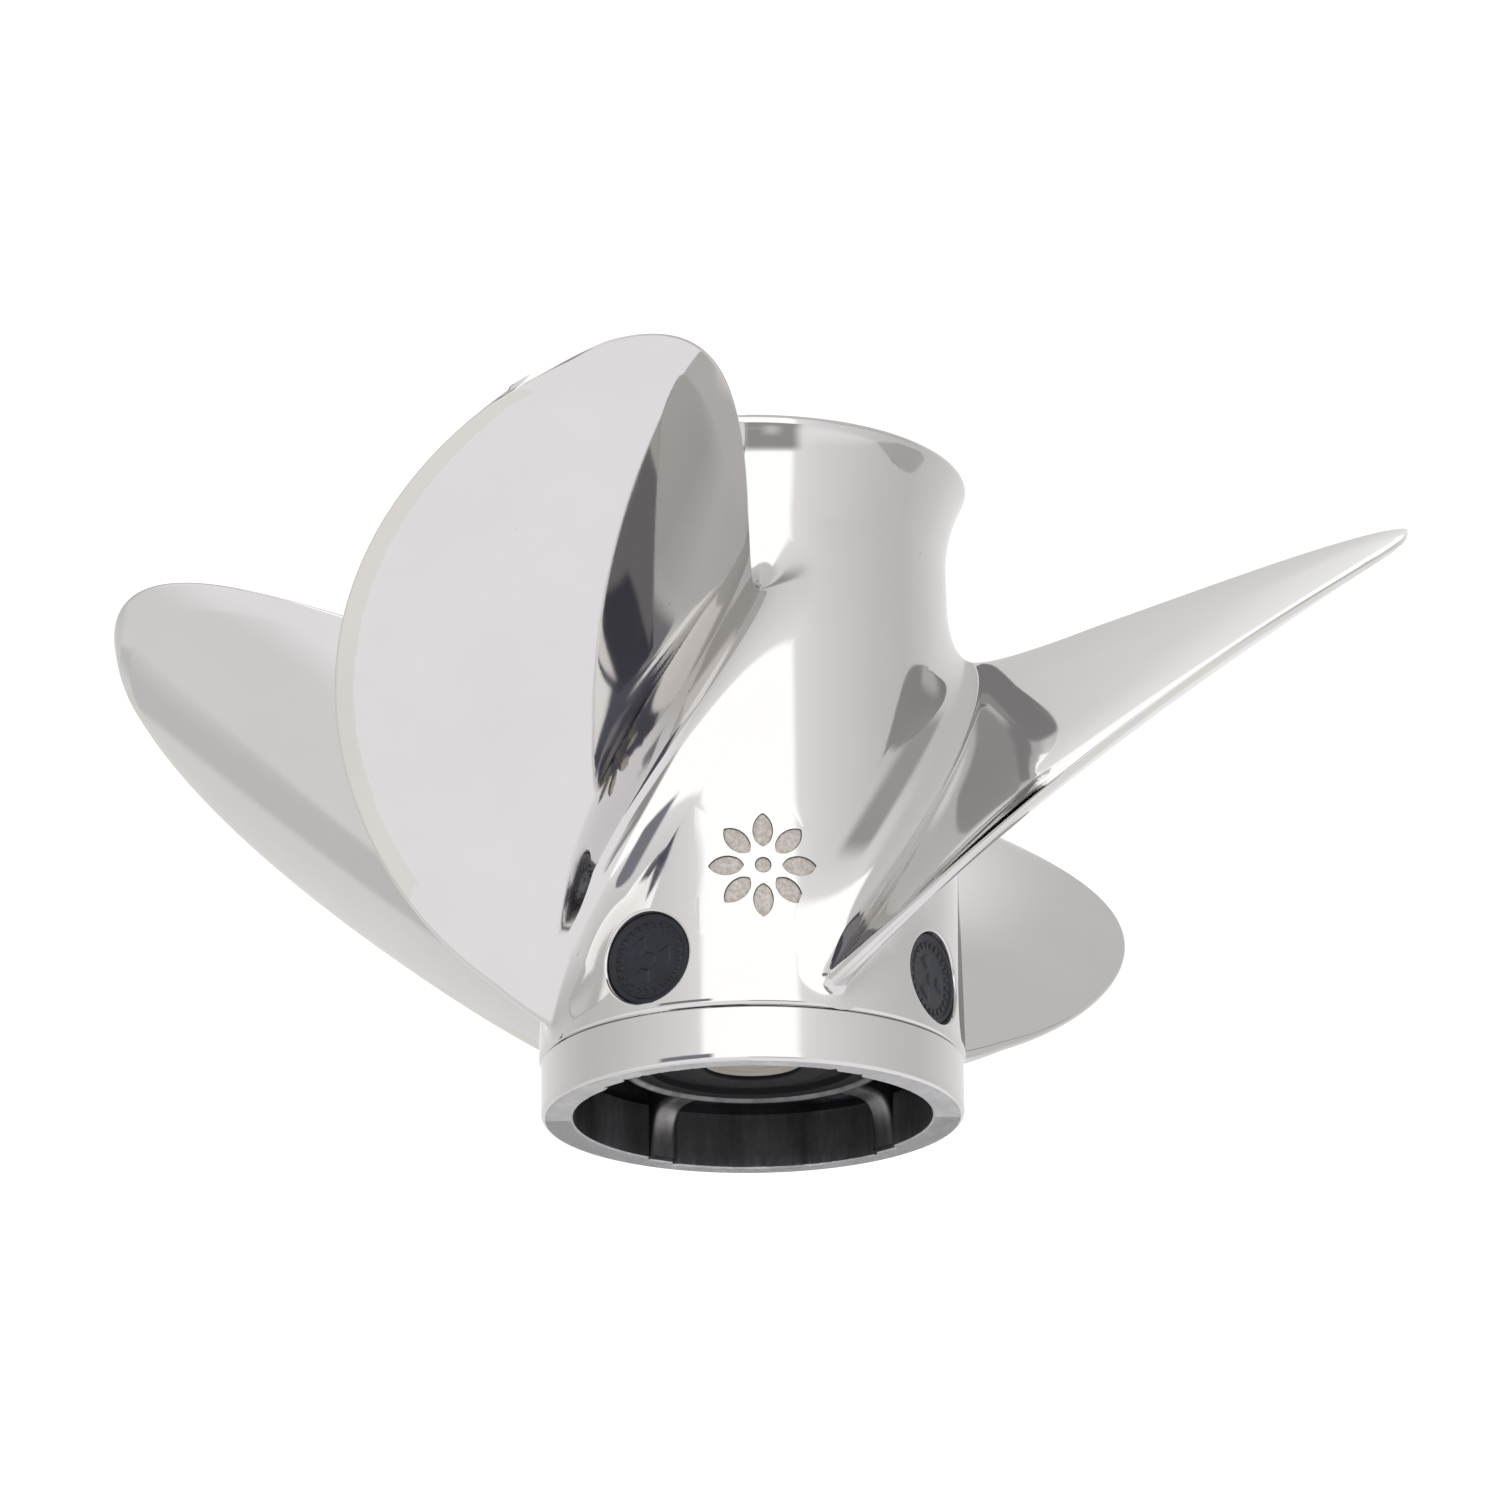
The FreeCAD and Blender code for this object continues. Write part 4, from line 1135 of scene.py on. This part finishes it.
CAMERA_ELEVATION = math.radians(-18.54)
CAMERA_ROLL = math.radians(-0.57)
CAMERA_DISTANCE_M = 1.969
CAMERA_AIM_M = (0.0002, 0.0, 0.1046)
SENSOR = 36.0
PIXELS_PER_MM = 3.653
FRAME_PIXELS = 1500.0


def build_camera():
    """Camera in front of the part and below its base, looking up at it."""
    data = bpy.data.cameras.new("camera")
    camera = bpy.data.objects.new("camera", data)
    bpy.context.scene.collection.objects.link(camera)
    forward = Vector((0.0, math.cos(CAMERA_ELEVATION), -math.sin(CAMERA_ELEVATION)))
    right = Vector((1.0, 0.0, 0.0))
    up = right.cross(forward)
    right_rolled = right * math.cos(CAMERA_ROLL) + up * math.sin(CAMERA_ROLL)
    up_rolled = up * math.cos(CAMERA_ROLL) - right * math.sin(CAMERA_ROLL)
    place = Vector(CAMERA_AIM_M) - forward * CAMERA_DISTANCE_M
    rotation = Matrix((right_rolled, up_rolled, -forward)).transposed().to_4x4()
    camera.matrix_world = Matrix.Translation(place) @ rotation
    data.sensor_width = SENSOR
    focal_pixels = PIXELS_PER_MM * CAMERA_DISTANCE_M / MM
    data.lens = focal_pixels / FRAME_PIXELS * SENSOR
    data.clip_start = 0.01
    data.clip_end = 100.0
    bpy.context.scene.camera = camera


def build_lights():
    """Two soft panels: one over the front, one low at the right."""
    panels = [("key_panel", (-0.6, -1.6, 2.4), 1.6, 14.0), ("side_panel", (2.4, 0.6, 0.9), 1.2, 5.0)]
    for name, place, size, power in panels:
        light = bpy.data.lights.new(name, "AREA")
        light.shape = "RECTANGLE"
        light.size = size
        light.size_y = size * 0.7
        light.energy = power
        obj = bpy.data.objects.new(name, light)
        bpy.context.scene.collection.objects.link(obj)
        obj.location = place
        aim = Vector((0.0, 0.0, 0.09)) - Vector(place)
        obj.rotation_euler = aim.to_track_quat("-Z", "Y").to_euler()
        obj.visible_glossy = False


build_floor()
build_world()
build_camera()
build_lights()
bpy.context.scene.view_settings.view_transform = "Standard"
bpy.context.scene.view_settings.look = "None"
